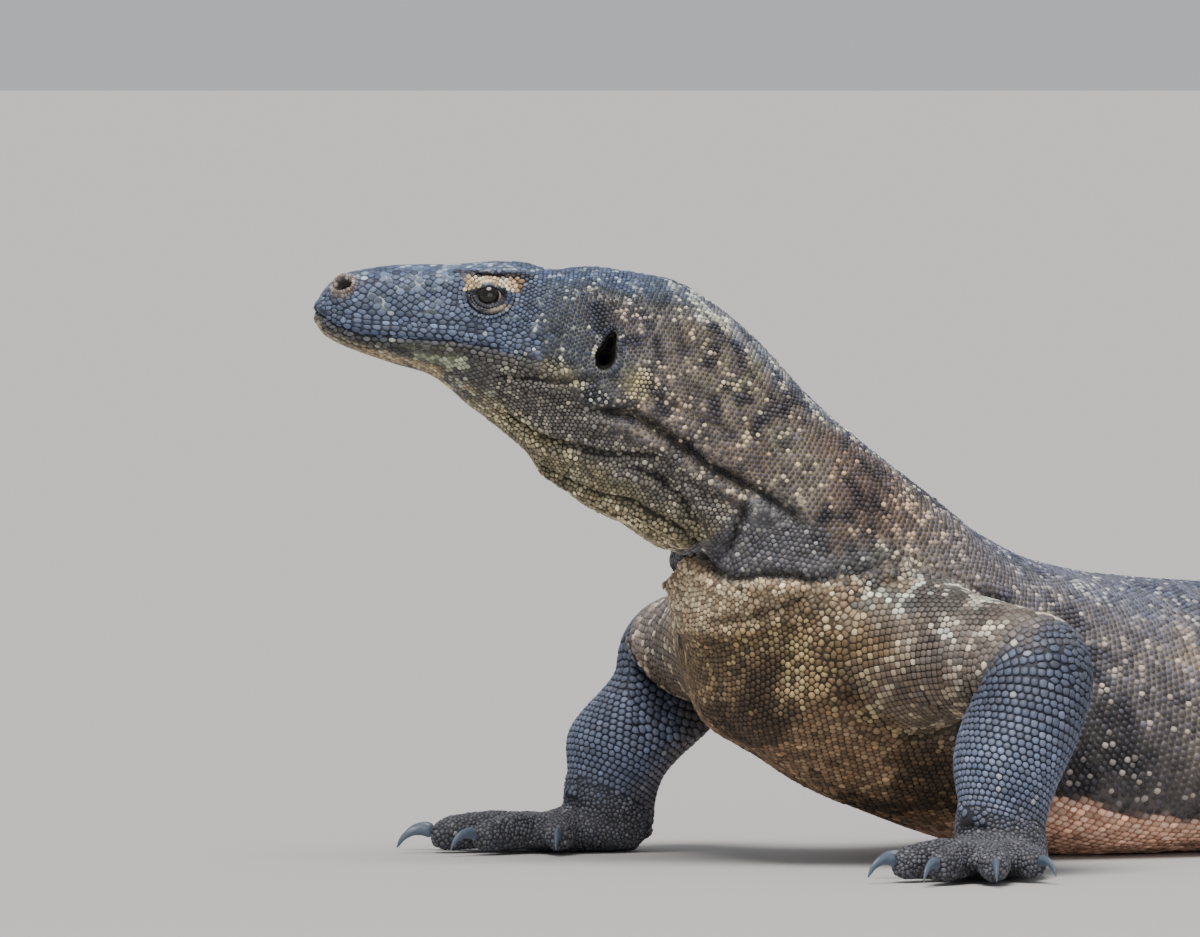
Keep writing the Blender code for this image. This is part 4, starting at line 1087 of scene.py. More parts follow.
class Markings:  # the colours at some points of the animal, laid one over the other
    def __init__(self, points, notes):
        self.points, self.s, self.kind, self.fold = points, notes["s"], notes["kind"], notes["fold"]
        self.away = np.abs(signedAngle(notes["angle"]))
        self.patchy = layered(points, 0.050, 3)
        self.drift, self.wave = self.patchy - 0.5, layered(points, 0.018, 7) - 0.5
        self.onBody, self.arm, self.leg = (np.isin(self.kind, k).astype(float) for k in ((0, 5, 6), 1, 2))
        self.edgy, self.along = self.away + self.wave * 24, self.s + self.drift * 0.03
        self.look = {key: np.tile(value, (len(points), 1)) for key, value in zip(toneParts, tones["trunk"])}

    def lay(self, tone, weight):
        weight = np.clip(weight, 0, 1)[:, None]
        for key, value in zip(toneParts, tones[tone]):
            self.look[key] = self.look[key] * (1 - weight) + np.array(value) * weight

    def blots(self, size, seed, low, high):
        return ramp(layered(self.points, size, seed), low, high)

    def trunk(self):
        s, edgy, along, wave, onBody = self.s, self.edgy, self.along, self.wave, self.onBody
        # top of the trunk: its own colour with a painted sheen of sky light
        self.lay("back", onBody * (1 - ramp(edgy, 30, 62)) * (1 - ramp(s, 0.9, 1.2)))
        self.lay("trunkLow", onBody * ramp(edgy, 74, 100))
        bands = sum(h * bump(s + w * wave, at, reach) for h, w, at, reach in tanBands)
        bands = onBody * bands * ramp(s, 0.45, 0.48) * (1 - ramp(s, 1.1, 1.2))
        self.lay("trunkTan", bands * bump(edgy, 76, 26) * self.blots(0.012, 23, 0.36, 0.54))
        # the belly's paler colour, brightened further as painted light where the underside lies in shade
        self.lay("belly", onBody * ramp(self.away + wave * 8, 124, 129) * ramp(along, 0.49, 0.53))
        self.lay("tail", onBody * ramp(along, 1.15, 1.35))

    def neck(self):
        s, edgy, along, onBody = self.s, self.edgy, self.along, self.onBody
        front = onBody * (1 - ramp(along, 0.36, 0.43))
        self.lay("neck", front)
        # top of the neck: its own colour with a painted sheen of sky light
        self.lay("neckBack", front * (1 - ramp(edgy, 26, 48)))
        warm = onBody * bump(along, 0.335, 0.050) * bump(edgy, 72, 26)
        self.lay("neckWarm", warm * ramp(self.patchy, 0.30, 0.60))
        rear, low = bump(s, 0.254, 0.036) * bump(edgy, 50, 20), bump(s, 0.290, 0.030) * bump(edgy, 74, 12)
        self.lay("neckCream", onBody * rear * self.blots(0.014, 83, 0.42, 0.54))
        self.lay("neckCream", onBody * low * self.blots(0.012, 89, 0.50, 0.60) * 0.7)
        ahead = onBody * (1 - ramp(along, 0.30, 0.315))
        self.lay("throat", ahead * ramp(edgy, 104, 120))
        self.lay("throatPale", ahead * ramp(edgy, 126, 142) * ramp(along, 0.13, 0.16))
        self.lay("pouch", onBody * ramp(edgy, 142, 160) * bump(along, 0.252, 0.060))

    def chest(self):
        s, away, edgy, along = self.s, self.away, self.edgy, self.along
        collar = np.interp(away, *zip(*chestEdge))
        ahead = self.onBody * ramp(collar - s, -0.002, 0.002)
        self.lay("neckLow", ahead * ramp(s, 0.290, 0.302) * ramp(edgy, 92, 104))
        past = along - 0.470 - 0.06 * ramp(away, 118, 150)
        chest = self.onBody * ramp(s - collar, -0.001, 0.004) * ramp(edgy, 92, 106)
        chest = chest * (1 - ramp(past, -0.015, 0.020))
        self.lay("chest", chest)
        self.lay("chestMid", chest * ramp(along + (away - 120) * 0.0006, 0.350, 0.375))
        self.lay("chestLow", chest * ramp(along + (away - 120) * 0.0007, 0.390, 0.440))
        self.lay("chestDark", chest * ramp(along, 0.345, 0.375) * self.blots(0.030, 31, 0.50, 0.60) * 0.85)

    def head(self, over):  # over is the height above the mouth's line
        s, away, edgy, along, onBody = self.s, self.away, self.edgy, self.along, self.onBody
        whole = onBody * (1 - ramp(along, 0.178, 0.215))
        self.lay("temple", whole)
        self.lay("head", whole * (1 - ramp(along, 0.125, 0.160)))
        # top of the head: its own colour with a painted sheen of sky light
        self.lay("crown", onBody * (1 - ramp(s, 0.17, 0.23)) * (1 - ramp(edgy, 30, 46)))
        under = onBody * (1 - ramp(s, 0.165, 0.20)) * ramp(-over, 0.000, 0.003) * ramp(away, 70, 90)
        self.lay("jaw", under)
        low = away + self.wave * 14
        chin = ramp(low, 132, 144) * (1 - ramp(s, 0.095, 0.125))
        self.lay("jawCream", under * chin * self.blots(0.012, 19, 0.28, 0.48))
        patch = bump(s, 0.082, 0.024) * bump(low, 118, 16)
        self.lay("jawPale", under * ramp(patch + 0.7 * (layered(self.points, 0.011, 91) - 0.5), 0.36, 0.52))
        self.lay("cheekYellow", onBody * bump(s, 0.157, 0.017) * bump(away, 99.5, 6) * 1.4)
        self.lay("neckWarm", onBody * bump(s, 0.182, 0.016) * bump(edgy, 62, 16) * 0.6)
        self.lay("cheekYellow", onBody * bump(s, 0.206, 0.010) * bump(away, 88.5, 6) * 1.2)
        ahead = onBody * (1 - ramp(along, 0.20, 0.22))
        self.lay("throat", ahead * ramp(along, 0.112, 0.135) * ramp(edgy, 100, 114))
        self.lay("throatPale", ahead * ramp(along, 0.105, 0.130) * ramp(edgy, 130, 146))

    def face(self, side):
        far, back, up = featureDistance(self.points, eye, side)
        near = self.onBody * (far < 0.04)
        self.lay("lidDark", near * (1 - ramp(far, 0.0135, 0.0165)) * ramp(-up, -0.007, -0.004))
        ragged = (layered(self.points, 0.004, 17) - 0.5) * 0.0030
        lower = up + ragged - np.interp(back, *zip(*browEdge))
        patch = near * ramp(back + ragged, -0.0165, -0.0150) * ramp(lower, -0.0004, 0.0006)
        patch = patch * (1 - ramp(up, 0.0112, 0.0122))
        self.lay("brow", patch * (1 - ramp(back, 0.018, 0.020)) * self.blots(0.0045, 17, 0.24, 0.36))
        self.lay("browRear", patch * ramp(back, 0.010, 0.015) * (1 - ramp(back + ragged, 0.021, 0.023)) * 0.9)
        # painted shadow under the brow's ledge
        self.lay("browShadow", near * (np.abs(back - 0.001) < 0.026) * bump(up, 0.0133, 0.0014))
        behind = back - 0.0080
        streak = np.hypot(behind * 0.55, (up + 0.0084 - 0.35 * behind) * 2.2)
        self.lay("lid", near * bump(streak, 0, 0.0034) * 1.2)
        far = featureDistance(self.points, nostril, side)[0]
        self.lay("nostrilRim", self.onBody * bump(far, 0.0068, 0.0026) * 1.1)

    def limbs(self):
        points, s, drift, wave, arm, leg = self.points, self.s, self.drift, self.wave, self.arm, self.leg
        flank = np.zeros(len(points))  # how much of the upper arm's colour there is, against the chest's
        for root, bend in armBones:
            share = np.clip((points - root) @ (bend - root) / ((bend - root) @ (bend - root)), 0, 1)
            apart = np.linalg.norm(points - root - share[:, None] * (bend - root), axis=1)
            near = (1 - ramp(apart + drift * 0.05, 0.048, 0.086)) * ramp(share + wave * 0.4, 0.15, 0.70)
            flank = np.maximum(flank, near)
        flank = np.maximum(flank, arm * ramp(s + wave * 0.7, 0.45, 0.95))
        chest, fore = arm * (1 - flank), arm * ramp(s + wave * 0.2, 0.92, 1.12)
        self.lay("chest", chest)
        self.lay("chestMid", chest * ramp(points[:, 2] + drift * 0.05, 0.165, 0.130))
        self.lay("chestDark", chest * self.blots(0.030, 31, 0.50, 0.60) * 0.6)
        self.lay("upperArm", flank * (arm + self.onBody * (s < 0.56)) * (1 - fore))
        pale = ramp(points[:, 2] + wave * 0.05, 0.142, 0.166) * self.blots(0.016, 77, 0.30, 0.52)
        shoulder = self.onBody * (s > 0.36) * (s < 0.50) * ramp(self.away, 88, 96) * (flank > 0)
        pale = pale * np.maximum(arm * (1 - ramp(s, 0.62, 0.85)), shoulder)
        self.lay("upperArmPale", pale * np.where(points[:, 1] > 0, 0.3, 1.0))
        upper = arm * flank * (1 - ramp(s, 0.85, 1.05))
        self.lay("chestMid", upper * (1 - ramp(points[:, 2] + drift * 0.04, 0.112, 0.144)) * 0.55)
        self.lay("chestDark", upper * self.blots(0.022, 33, 0.50, 0.60) * 0.40)
        self.lay("forearm", fore + np.isin(self.kind, (3, 4)))
        behind = points[:, 0] - armBones[0][1][0] + 0.048 * (s - 1) + wave * 0.02
        # the inner arm's own colour, brightened as painted light on the far arm, which lies in shade
        self.lay("innerArmAndLight", arm * (points[:, 1] > 0) * ramp(s, 0.9, 1.1) * ramp(behind, -0.010, 0.014) * 0.8)
        self.look["base"] = self.look["base"] * (1 + 0.80 * arm * ramp(s, 1.30, 1.75))[:, None]
        self.lay("trunkLow", leg * 0.8)
        self.lay("forearm", leg * ramp(s, 1.1, 1.5) * 0.5)
        height = points[:, 2] + wave * 0.012
        self.lay("paw", np.isin(self.kind, (3, 4)) * (1 - 0.8 * ramp(height, 0.026, 0.050)))
        self.lay("paw", np.isin(self.kind, (1, 2)) * (1 - ramp(height, 0.030, 0.056)) * 0.8)

    def finished(self, over):  # groups the flecks, breaks up the net of pale lines, paints shade into the folds' creases and a highlight on their crests
        points, look = self.points, self.look
        grouped = 0.6 * cloud(points, 0.011, 53) + 0.4 * layered(points, 0.030, 54)
        broken = 0.55 * layered(points, 0.030, 57) + 0.45 * cloud(points, 0.0075, 59)
        look["share"] = look["share"][:, 0] * (0.15 + 2.6 * ramp(grouped, 0.46, 0.66))
        net = look["net"][:, 0] * ramp(broken, 0.30, 0.56)
        net = net * (1 - 0.55 * self.onBody * ramp(self.along, 0.50, 0.90)) * (1 - 0.5 * self.leg)
        snout = self.onBody * (self.s < 0.19) * (self.s > 0.028) * ramp(over, 0.014, 0.022)
        look["net"] = np.maximum(net, 0.95 * self.blots(0.0065, 41, 0.60, 0.68) * snout)
        # painted shade in the folds' creases and a painted highlight on their crests
        creaseShade, crestHighlight = ramp(-self.fold, 0.0002, 0.0040)[:, None], ramp(self.fold, 0.0008, 0.0030)[:, None]
        for key in ("base", "fleck", "gap"):
            look[key] = look[key] * (1 - 0.64 * creaseShade) * (1 + 0.25 * crestHighlight)
        look["base"] = look["base"] * (0.78 + 0.44 * layered(points, 0.040, 71))[:, None]
        return look


def markings(points, notes):
    marks = Markings(points, notes)
    over = mouthPlace(points)[1]
    marks.trunk()
    marks.neck()
    marks.chest()
    marks.head(over)
    marks.face(1)
    marks.face(-1)
    marks.limbs()
    return marks.finished(over)


skinLook = markings(skinPoints, skinNotes)
skinNet = skinLook["net"][:, None] * 0.80
# the skin between the scales takes mostly the gap's colour: its own darker colour, partly painted shade
# between the scales
skinColour = (skinLook["gap"] * 0.92 + skinLook["base"] * 0.08) * (1 - skinNet)
skinColour = skinColour + skinLook["fleck"] * 0.8 * skinNet
skinColour = skinColour * (1 - 0.90 * skinNotes["pit"])[:, None]  # painted shade, darker inside the openings


def setColour(mesh, colour):
    layer = mesh.color_attributes.new("tint", "FLOAT_COLOR", "POINT")
    layer.data.foreach_set("color", np.concatenate([colour, np.ones((len(colour), 1))], 1).ravel())


setColour(skinMesh, skinColour)


# ---- the scales themselves ----

scaleShape = {
    "sunk": 0.00045,
    "lean": 0.16,  # how far the top lies towards the tail
    "neighbours": 10,
    "outline": 24,  # ways in which each scale's reach is measured
    "patch": 0.0015,  # half the width of a scale's place on the unwrap
}


def lieOf(places):  # the way each scale points: towards the tail, or down the limb
    out = np.zeros((len(places["points"]), 3))
    kind, s = places["kind"], places["s"]
    onBody = np.isin(kind, (0, 5, 6))
    out[onBody] = spineFrames(s[onBody])[1]
    for limb in limbs:
        here = (kind == limb["kind"]) & (np.sign(places["points"][:, 1]) == np.sign(limb["root"][1]))
        out[here] = unit(limbCentre(limb, s[here] + 0.02) - limbCentre(limb, s[here] - 0.02))
    out[np.isin(kind, (3, 4))] = (-1.0, 0.0, 0.0)
    flat = out - places["normals"] * np.sum(out * places["normals"], 1, keepdims=True)
    return unit(flat)


def outlines(places, lie, across, style):  # each scale's reach in every direction, up to its neighbours
    points, size = places["points"], places["spacing"] * style["size"]
    tree = KDTree(len(points))
    for k, p in enumerate(points.tolist()):
        tree.insert(p, k)
    tree.balance()
    near = scaleShape["neighbours"]
    index = np.repeat(np.arange(len(points))[:, None], near, 1)
    for k, p in enumerate(points.tolist()):
        found = [i for _, i, _ in tree.find_n(p, near + 1) if i != k][:near]
        index[k, : len(found)] = found
    offsets = points[index] - points[:, None, :]
    square = np.einsum("nkj,nkj->nk", offsets, offsets)
    pull = style["pull"][:, None]
    alongs, asides = np.einsum("nkj,nj->nk", offsets, lie), np.einsum("nkj,nj->nk", offsets, across)
    square = square + alongs ** 2 * (pull ** -2 - 1) + asides ** 2 * (pull ** 2 - 1)
    alongs, asides = alongs / pull, asides * pull
    share = size[:, None] / (size[:, None] + size[index])
    dots = alongs[:, :, None] * np.cos(outlineTurns) + asides[:, :, None] * np.sin(outlineTurns)
    facing = dots > 0.15 * np.sqrt(square)[:, :, None]
    limit = np.where(facing, (share * square)[:, :, None] / np.maximum(dots, 1e-9), 1.0)
    reach = limit.min(1) * (style["fill"][:, None] - style["banded"][:, None] * np.cos(outlineTurns) ** 2)
    cap = (size * style["reach"])[:, None]
    reach = (reach ** -6.0 + cap ** -6.0) ** (-1 / 6)
    return np.stack([reach * np.cos(outlineTurns) * pull, reach * np.sin(outlineTurns) / pull], -1)


def styleOf(places):  # how round, high, wide and long the scales of each place are
    s, kind = places["s"], places["kind"]
    away = np.abs(signedAngle(places["angle"]))
    onBody, onLimb, onPaw = np.isin(kind, (0, 5, 6)), np.isin(kind, (1, 2)), np.isin(kind, (3, 4))
    underside = onBody & (away > 124) & (s > 0.5)
    bead = onBody * ramp(s, 0.15, 0.22) * (1 - ramp(away, 96, 116) * (1 - ramp(s, 0.5, 0.6)))
    bead = bead * (1 - 0.6 * ramp(s, 1.1, 1.4))
    bead = np.where(onPaw, 0.25, np.where(underside, 0.0, bead))
    height = np.full(len(s), 0.27)
    for where, value in (
        (onBody & (s < 0.19), 0.13),
        (onBody & (s > 0.12) & (s < 0.19), 0.36),
        (onBody & (s > 0.12) & (s < 0.42) & (away < 60), 0.42),
        (onBody & (away > 100) & (s > 0.2) & (s < 0.31), 0.24),
        (underside, 0.14),
        (onLimb | onPaw, 0.24),
        (np.isin(kind, (5, 6)), 0.20),
        ((kind == 5) & (np.abs(s - eye["at"]) < 0.02), 0.13),
    ):
        height[where] = value
    size = np.exp(chance.normal(0, 1, len(s)) * np.where(onLimb, 0.07, 0.17))
    temple = onBody * ramp(s, 0.118, 0.135) * (1 - ramp(s, 0.180, 0.200))
    return {
        "bead": bead,
        "height": height,
        "size": size,
        "pull": stretchOf(places["points"], kind),
        "fill": np.where(bead > 0.5, 0.955, 0.98) - 0.05 * temple,
        "banded": np.where(onLimb & (s > 0.9), 0.10, 0.0),
        "reach": np.where(bead > 0.5, 0.62, 0.76),
    }


def coatMesh(name, points, corners, sizes):
    mesh = bpy.data.meshes.new(name)
    mesh.vertices.add(len(points))
    mesh.vertices.foreach_set("co", points.ravel())
    mesh.loops.add(len(corners))
    mesh.loops.foreach_set("vertex_index", corners.astype(np.int32))
    mesh.polygons.add(len(sizes))
    mesh.polygons.foreach_set("loop_start", runningSum(sizes)[:-1].astype(np.int32))
    mesh.update(calc_edges=True)
    mesh.shade_smooth()
    return mesh


def coatFaces(count, sides, rings):  # rings of four-sided faces under a fan of triangles, for every scale
    near, each = np.arange(sides), rings * sides + 1
    far = (near + 1) % sides
    quads = [np.stack([near, far, far + sides, near + sides], -1) + ring * sides for ring in range(rings - 1)]
    fans = np.stack([near, far, np.full(sides, sides)], -1) + (rings - 1) * sides
    one = np.concatenate([np.ravel(quads), fans.ravel()])
    sizes = np.tile([4] * sides * (rings - 1) + [3] * sides, count)
    return ((np.arange(count) * each)[:, None] + one).ravel(), sizes


def buildCoat(name, places, look, sides, rings, unwrap):
    lie, normal, spacing, count = lieOf(places), places["normals"], places["spacing"], len(places["spacing"])
    across = np.cross(normal, lie)
    step = scaleShape["outline"] // sides
    flat, turn = allOutlines[places["index"]][:, ::step], outlineTurns[::step]
    ways = lie[:, None, :] * flat[:, :, :1] + across[:, None, :] * flat[:, :, 1:]
    style = {key: value[places["index"]] for key, value in scaleStyle.items()}
    height, bead = spacing * style["height"] * style["size"] ** 0.7, style["bead"]
    lean = lie * (np.linalg.norm(flat, axis=2).mean(1) * scaleShape["lean"])[:, None]
    points, colours, flats = [], [], []
    for plate, rounded in rings:
        share, lift, shade = (a * (1 - bead) + b * bead for a, b in zip(plate, rounded))
        level = height * lift - np.where(lift == 0, scaleShape["sunk"], 0.0)
        ring = places["points"] + lean * (1 - share)[:, None] + normal * level[:, None]
        points.append(ring[:, None, :] + ways * share[:, None, None])
        tint = look["rim"] * (1 - shade)[:, None] + look["colour"] * shade[:, None]
        colours.append(np.repeat(tint[:, None, :], sides, 1))
        flats.append(np.stack([np.cos(turn), np.sin(turn)], -1)[None] * share[:, None, None])
    points.append((places["points"] + lean + normal * height[:, None])[:, None, :])
    colours.append(look["colour"][:, None, :])
    flats.append(np.zeros((count, 1, 2)))
    points, colours, flats = (np.concatenate(a, 1) for a in (points, colours, flats))
    points = np.clip(points, np.array(solidBox[0]) + 0.0002, np.array(solidBox[1]) - 0.0002)
    corners, sizes = coatFaces(count, sides, len(rings))
    mesh = coatMesh(name, points.reshape(-1, 3), corners, sizes)
    setColour(mesh, colours.reshape(-1, 3))
    uv = (unwrap(places)[:, None, :] + flats * scaleShape["patch"]).reshape(-1, 2)
    mesh.uv_layers.new(name="OFBake").data.foreach_set("uv", uv[corners].ravel())
    coat = shown(name, mesh)
    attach(coat, "root")
    return coat, int((sizes - 2).sum())


def spread(values):  # onto 0.01 to 0.99
    low, high = values.min(), values.max()
    return 0.01 + 0.98 * (values - low) / max(high - low, 1e-9)


def bodyUnwrap(places):
    return np.stack([spread(places["s"]), spread(signedAngle(places["angle"]))], -1)


def limbUnwrap(places):
    return np.stack([spread(places["s"]), spread(places["angle"] % 360)], -1)


def pawUnwrap(places):  # the upper side in one half, the sole in the other
    under = places["normals"][:, 2] < -0.2
    u = spread(places["points"][:, 0])
    v = spread(places["points"][:, 1]) * 0.48 + np.where(under, 0.5, 0.0)
    return np.stack([u, v], -1)


variety = {  # how much the scales of one place differ in brightness, and in colour from red to blue
    "head": 0.34, "limbs": 0.22, "body": 0.36, "warmth": np.array((0.10, 0.0, -0.10)),
}


def scaleLook(places):
    look = markings(places["points"], places)
    kind, count = places["kind"], len(places["points"])
    luck = chance.random((count, 4))
    fleck = luck[:, 0] < look["share"]
    onHead = np.isin(kind, (0, 5, 6)) & (places["s"] < 0.2)
    onLimb = np.isin(kind, (1, 2, 3, 4))
    varied = np.select([onHead, onLimb], [variety["head"], variety["limbs"]], variety["body"])
    colour = look["base"] * np.exp(chance.normal(0, 1, count) * varied - 0.05)[:, None]
    strong = 0.25 + 0.75 * luck[:, 2:3] ** 1.4  # few flecks are as pale as they can be
    colour = np.where(fleck[:, None], colour * (1 - strong) + look["fleck"] * strong, colour)
    colour = colour * (1 + (luck[:, 3:4] - 0.5) * variety["warmth"])
    net = np.clip(look["net"] * (0.55 + 0.9 * luck[:, 2]), 0, 1)[:, None]
    # each scale's rim takes the gap's colour, partly painted shade where scale meets skin, or the pale net
    return {"colour": colour, "rim": look["gap"] * (1 - net) + look["fleck"] * net}


fineRings = (  # share of the reach, lift, share of the scale's own colour: for a flat plate, then for a bead
    ((1.0, 0.0, 0.0), (1.0, 0.0, 0.0)),
    ((0.94, 0.62, 0.70), (0.94, 0.30, 0.10)),
    ((0.70, 0.95, 1.00), (0.78, 0.80, 1.00)),
)
plainRings = (
    ((1.0, 0.0, 0.0), (1.0, 0.0, 0.0)),
    ((0.87, 0.70, 0.85), (0.80, 0.66, 0.80)),
)
coats = [  # name, kinds, place from and to, sides, rings, unwrap
    (f"{name}_scales", (0, 5, 6), (low, high), sides, rings, bodyUnwrap)
    for name, low, high, sides, rings in (
        ("face", 0.0, 0.115, 8, fineRings),
        ("head", 0.115, 0.20, 8, fineRings),
        ("neck", 0.20, 0.285, 8, plainRings),
        ("collar", 0.285, 0.38, 8, plainRings),
        ("breast", 0.38, 0.56, 8, plainRings),
        ("flank", 0.56, 0.86, 8, plainRings),
        ("hip", 0.86, 1.19, 6, plainRings),
        ("tail", 1.19, 3.0, 6, plainRings),
    )
]
coats += [  # for a limb its side stands in place of the reach along the body
    (f"{name}_{part}_scales", (kind,), side, sides, rings, unwrap)
    for part, kind, sides, rings, unwrap in (
        ("arm", 1, 8, fineRings, limbUnwrap),
        ("leg", 2, 6, plainRings, limbUnwrap),
        ("hand", 3, 8, plainRings, pawUnwrap),
        ("foot", 4, 6, plainRings, pawUnwrap),
    )
    for name, side in (("right", 1), ("left", -1))
]
outlineTurns = (np.arange(scaleShape["outline"]) + 0.5) * 2 * math.pi / scaleShape["outline"]
allLie = lieOf(scales)
scaleStyle = styleOf(scales)
allOutlines = outlines(scales, allLie, np.cross(scales["normals"], allLie), scaleStyle)
say("outlines found")
coatObjects, coatTriangles = [], 0
for name, kinds, where, sides, rings, unwrap in coats:
    pick = np.isin(scales["kind"], kinds)
    if isinstance(where, tuple):
        pick &= (scales["s"] >= where[0]) & (scales["s"] < where[1])
    else:
        pick &= np.sign(scales["points"][:, 1]) == where
    places = {key: value[pick] for key, value in scales.items()}
    places["index"] = np.where(pick)[0]
    coat, triangles = buildCoat(name, places, scaleLook(places), sides, rings, unwrap)
    coatObjects.append(coat)
    coatTriangles += triangles
    say(f"{name}: {pick.sum()} scales, {triangles} triangles")
say(f"coat of {coatTriangles} triangles")


# ---- finishes ----


def plug(tree, slot, value):  # a wire is linked, a fixed value is set
    if isinstance(value, Wire):
        tree.links.new(value.socket, slot)
    else:
        slot.default_value = value


class Wire:
    def __init__(self, tree, socket):
        self.tree, self.socket = tree, socket

    def maths(self, operation, first, second):
        node = self.tree.nodes.new("ShaderNodeMath")
        node.operation = operation
        plug(self.tree, node.inputs[0], first)
        plug(self.tree, node.inputs[1], second)
        return Wire(self.tree, node.outputs[0])

    def __add__(self, other):
        return self.maths("ADD", self, other)

    def __sub__(self, other):
        return self.maths("SUBTRACT", self, other)

    def __rsub__(self, other):
        return self.maths("SUBTRACT", other, self)

    def __mul__(self, other):
        return self.maths("MULTIPLY", self, other)

    __radd__, __rmul__ = __add__, __mul__


class Finish:
    def __init__(self, name):
        self.material = bpy.data.materials.new(name)
        self.material.use_nodes = True
        self.tree = self.material.node_tree
        self.shader = self.tree.nodes["Principled BSDF"]

    def node(self, kind, output, settings=(), **values):
        made = self.tree.nodes.new(kind)
        for key, value in dict(settings).items():
            setattr(made, key, value)
        for key, value in values.items():
            plug(self.tree, made.inputs[key], value)
        return Wire(self.tree, made.outputs[output])

    def mix(self, mode, factor, one, other):  # of two colours
        made = self.tree.nodes.new("ShaderNodeMix")
        made.data_type, made.blend_type = "RGBA", mode
        for slot, value in ((0, factor), (6, one), (7, other)):
            plug(self.tree, made.inputs[slot], value)
        return Wire(self.tree, made.outputs[2])

    def noise(self, scale, detail=3.0, roughness=0.5):
        place = self.node("ShaderNodeTexCoord", "Object")
        values = {"Vector": place, "Scale": scale, "Detail": detail, "Roughness": roughness}
        return self.node("ShaderNodeTexNoise", "Fac", **values)

    def tint(self):  # the colour that each point carries
        return self.node("ShaderNodeAttribute", "Color", {"attribute_name": "tint"})

    def feed(self, **values):
        for key, value in values.items():
            plug(self.tree, self.shader.inputs[key.replace("_", " ")], value)
        return self.material


def hideFinish(name, roughness, grain):
    own = Finish(name)
    fine, broad = own.noise(900.0, 4.0, 0.6), own.noise(60.0)
    dusty = own.mix("MIX", (broad - 0.42) * 0.10, own.tint(), (0.30, 0.265, 0.22, 1))
    grey = fine + 0.5
    mottle = own.node("ShaderNodeCombineColor", "Color", Red=grey, Green=grey, Blue=grey)
    colour = own.mix("MULTIPLY", 0.35, dusty, mottle)
    bumps = own.node("ShaderNodeBump", "Normal", Strength=0.35, Distance=grain, Height=fine)
    own.feed(Specular_IOR_Level=0.36)
    return own.feed(Base_Color=colour, Roughness=fine * 0.22 + roughness, Normal=bumps)


skinMesh.materials.append(hideFinish("living_hide", 0.50, 0.0004))
scaleFinish = hideFinish("scale_horn", 0.42, 0.0003)
for coat in coatObjects:
    coat.data.materials.append(scaleFinish)
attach(skin, "root")
flesh = [name for name in nodes if "eye" not in name and "claw" not in name]
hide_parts(*flesh)


def clawFinish():
    own = Finish("claw_horn")
    fine, broad = own.noise(700.0, 4.0, 0.6), own.noise(140.0)
    colour = own.mix("MIX", broad, (0.045, 0.066, 0.100, 1), (0.115, 0.150, 0.205, 1))
    bumps = own.node("ShaderNodeBump", "Normal", Strength=0.3, Distance=0.0003, Height=fine)
    return own.feed(Base_Color=colour, Roughness=fine * 0.25 + 0.28, Normal=bumps)


clawHorn = clawFinish()
for name, node in nodes.items():
    if "claw" in name:
        welded = node.modifiers.new("welded", "WELD")
        welded.merge_threshold = 0.00005
        rounded = node.modifiers.new("rounded", "SUBSURF")
        rounded.levels = rounded.render_levels = 2
        node.data.materials.clear()
        node.data.materials.append(clawHorn)


eyeball = {
    "segments": 48,
    "rings": 32,
    "share": 0.985,  # of the solid eye's radius
    "pupil": 0.0046,
    "iris": 0.0070,
    "white": (0.62, 0.56, 0.45),
    "whiteFront": (0.05, 0.042, 0.036),
    "irisColour": (0.012, 0.009, 0.008),
    "pupilColour": (0.004, 0.004, 0.004),
}


def blend(one, other, share):  # of two colours, at each point
    return np.array(one) * (1 - share)[:, None] + np.array(other) * share[:, None]


def makeEye(side, name):
    centre, outward, back, up = planeFor(eye, side)
    work = bmesh.new()
    size = {"u_segments": eyeball["segments"], "v_segments": eyeball["rings"]}
    bmesh.ops.create_uvsphere(work, radius=eye["radius"] * eyeball["share"], **size)
    mesh = bpy.data.meshes.new(name + "_ball")
    work.to_mesh(mesh)
    work.free()
    across, over, ahead = np.array([v.co for v in mesh.vertices]).T
    placed = np.stack([across, over, ahead], -1) @ np.stack([back, up, outward]) + centre
    mesh.vertices.foreach_set("co", placed.ravel())
    away = np.hypot(across, over)
    iris = (1 - ramp(away, eyeball["iris"] - 0.0006, eyeball["iris"] + 0.0002)) * (ahead > 0)
    pupil = (1 - ramp(away, eyeball["pupil"] - 0.0004, eyeball["pupil"] + 0.0004)) * (ahead > 0)
    white = blend(eyeball["whiteFront"], eyeball["white"], ramp(across, 0.000, 0.004))
    setColour(mesh, blend(blend(white, eyeball["irisColour"], iris), eyeball["pupilColour"], pupil))
    mesh.shade_smooth()
    ball = shown(name + "_ball", mesh)
    own = Finish("eye_gloss_" + name)
    mesh.materials.append(own.feed(Base_Color=own.tint(), Roughness=0.07))
    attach(ball, "root")
    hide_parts(name)


makeEye(1, "eye_left")
makeEye(-1, "eye_right")


# ---- floor, light and camera ----

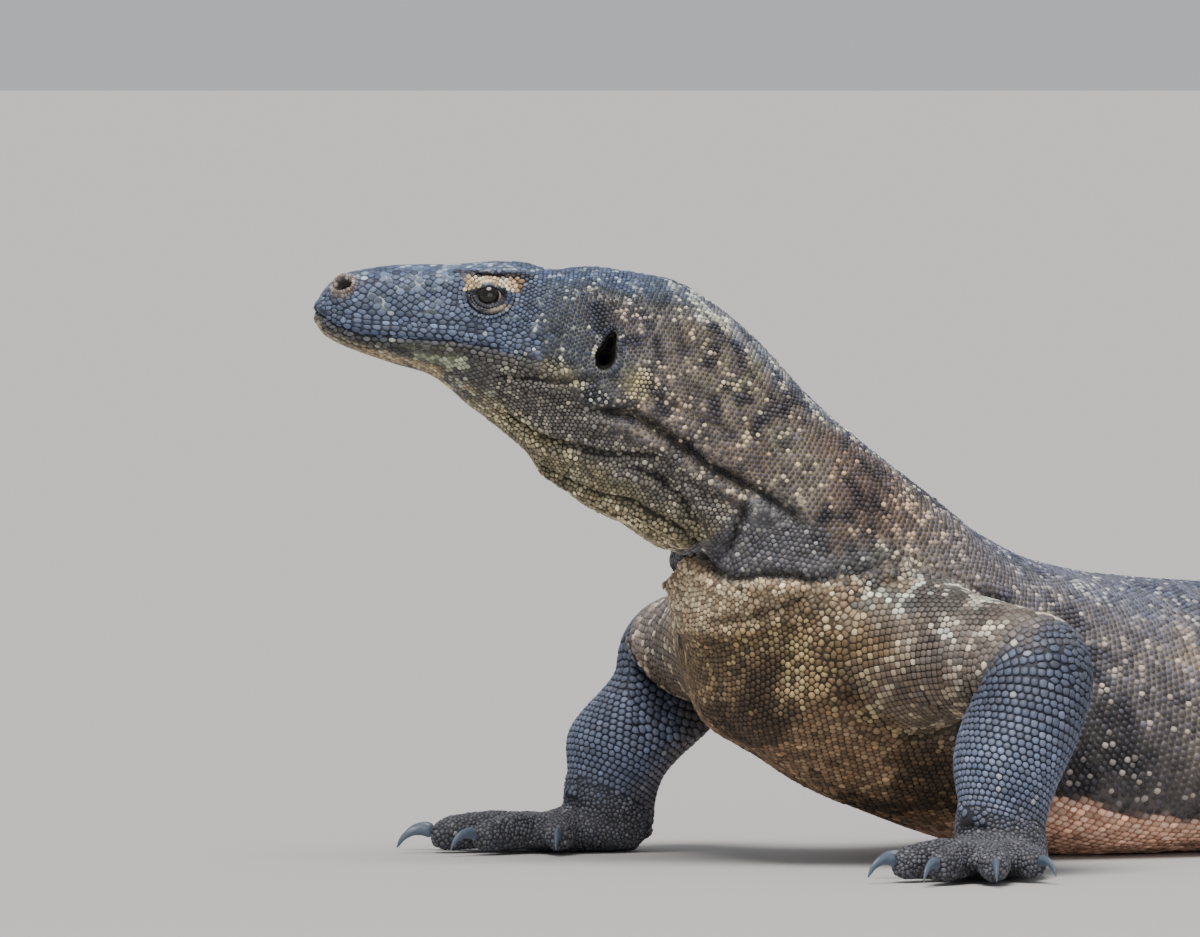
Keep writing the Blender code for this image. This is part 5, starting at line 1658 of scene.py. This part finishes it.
floorMesh = bpy.data.meshes.new("floor")
wide = 400  # metres to each side
corners = [(-wide, -wide, 0), (wide, -wide, 0), (wide, wide, 0), (-wide, wide, 0)]
floorMesh.from_pydata(corners, [], [(0, 1, 2, 3)])
floor = shown("floor", floorMesh)
pale = (0.485, 0.480, 0.480, 1)
floorMesh.materials.append(Finish("pale_floor").feed(Base_Color=pale, Roughness=0.85, Specular_IOR_Level=0.1))

world = bpy.data.worlds.new("studio")
bpy.context.scene.world = world
world.use_nodes = True
background = world.node_tree.nodes["Background"].inputs
background["Color"].default_value = (0.985, 1.0, 1.03, 1)
background["Strength"].default_value = 0.53

chestPlace = np.array(body["shift"]) + np.array((0.02, 0.0, 0.2))
sky = {"from": (-0.55, -0.42, 1.5), "strength": 3.8, "softness": 34.0, "colour": (1.0, 0.965, 0.915)}
fill = {"offset": (-2.0, -2.4, 0.25), "size": 2.4, "watts": 22}
overhead = bpy.data.lights.new("overhead", "SUN")
overhead.energy, overhead.color = sky["strength"], sky["colour"]
overhead.angle = math.radians(sky["softness"])
lamp = bpy.data.lights.new("fill", "AREA")
lamp.shape, lamp.size, lamp.energy = "DISK", fill["size"], fill["watts"]
for source, offset in ((overhead, sky["from"]), (lamp, fill["offset"])):
    holder = shown(source.name, source)
    holder.location = chestPlace + np.array(offset)
    holder.rotation_euler = Vector(-np.array(offset)).to_track_quat("-Z", "Y").to_euler()

view = {"heading": 40.0, "pitch": 1.70, "distance": 10.0, "aside": -0.133, "height": 0.55, "lens": 468.75}
heading = math.radians(view["heading"])
ahead = np.array((math.sin(heading), math.cos(heading), 0.0))
rightWay = np.array((math.cos(heading), -math.sin(heading), 0.0))
cameraData = bpy.data.cameras.new("camera")
cameraData.lens, cameraData.sensor_width = view["lens"], 36.0
cameraData.clip_end = 100.0
camera = shown("camera", cameraData)
overTheFloor = np.array((0, 0, view["height"]))
camera.location = np.array(body["shift"]) + rightWay * view["aside"] - ahead * view["distance"] + overTheFloor
camera.rotation_euler = (math.radians(90 - view["pitch"]), 0.0, -heading)
bpy.context.scene.camera = camera

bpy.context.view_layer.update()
say("done")
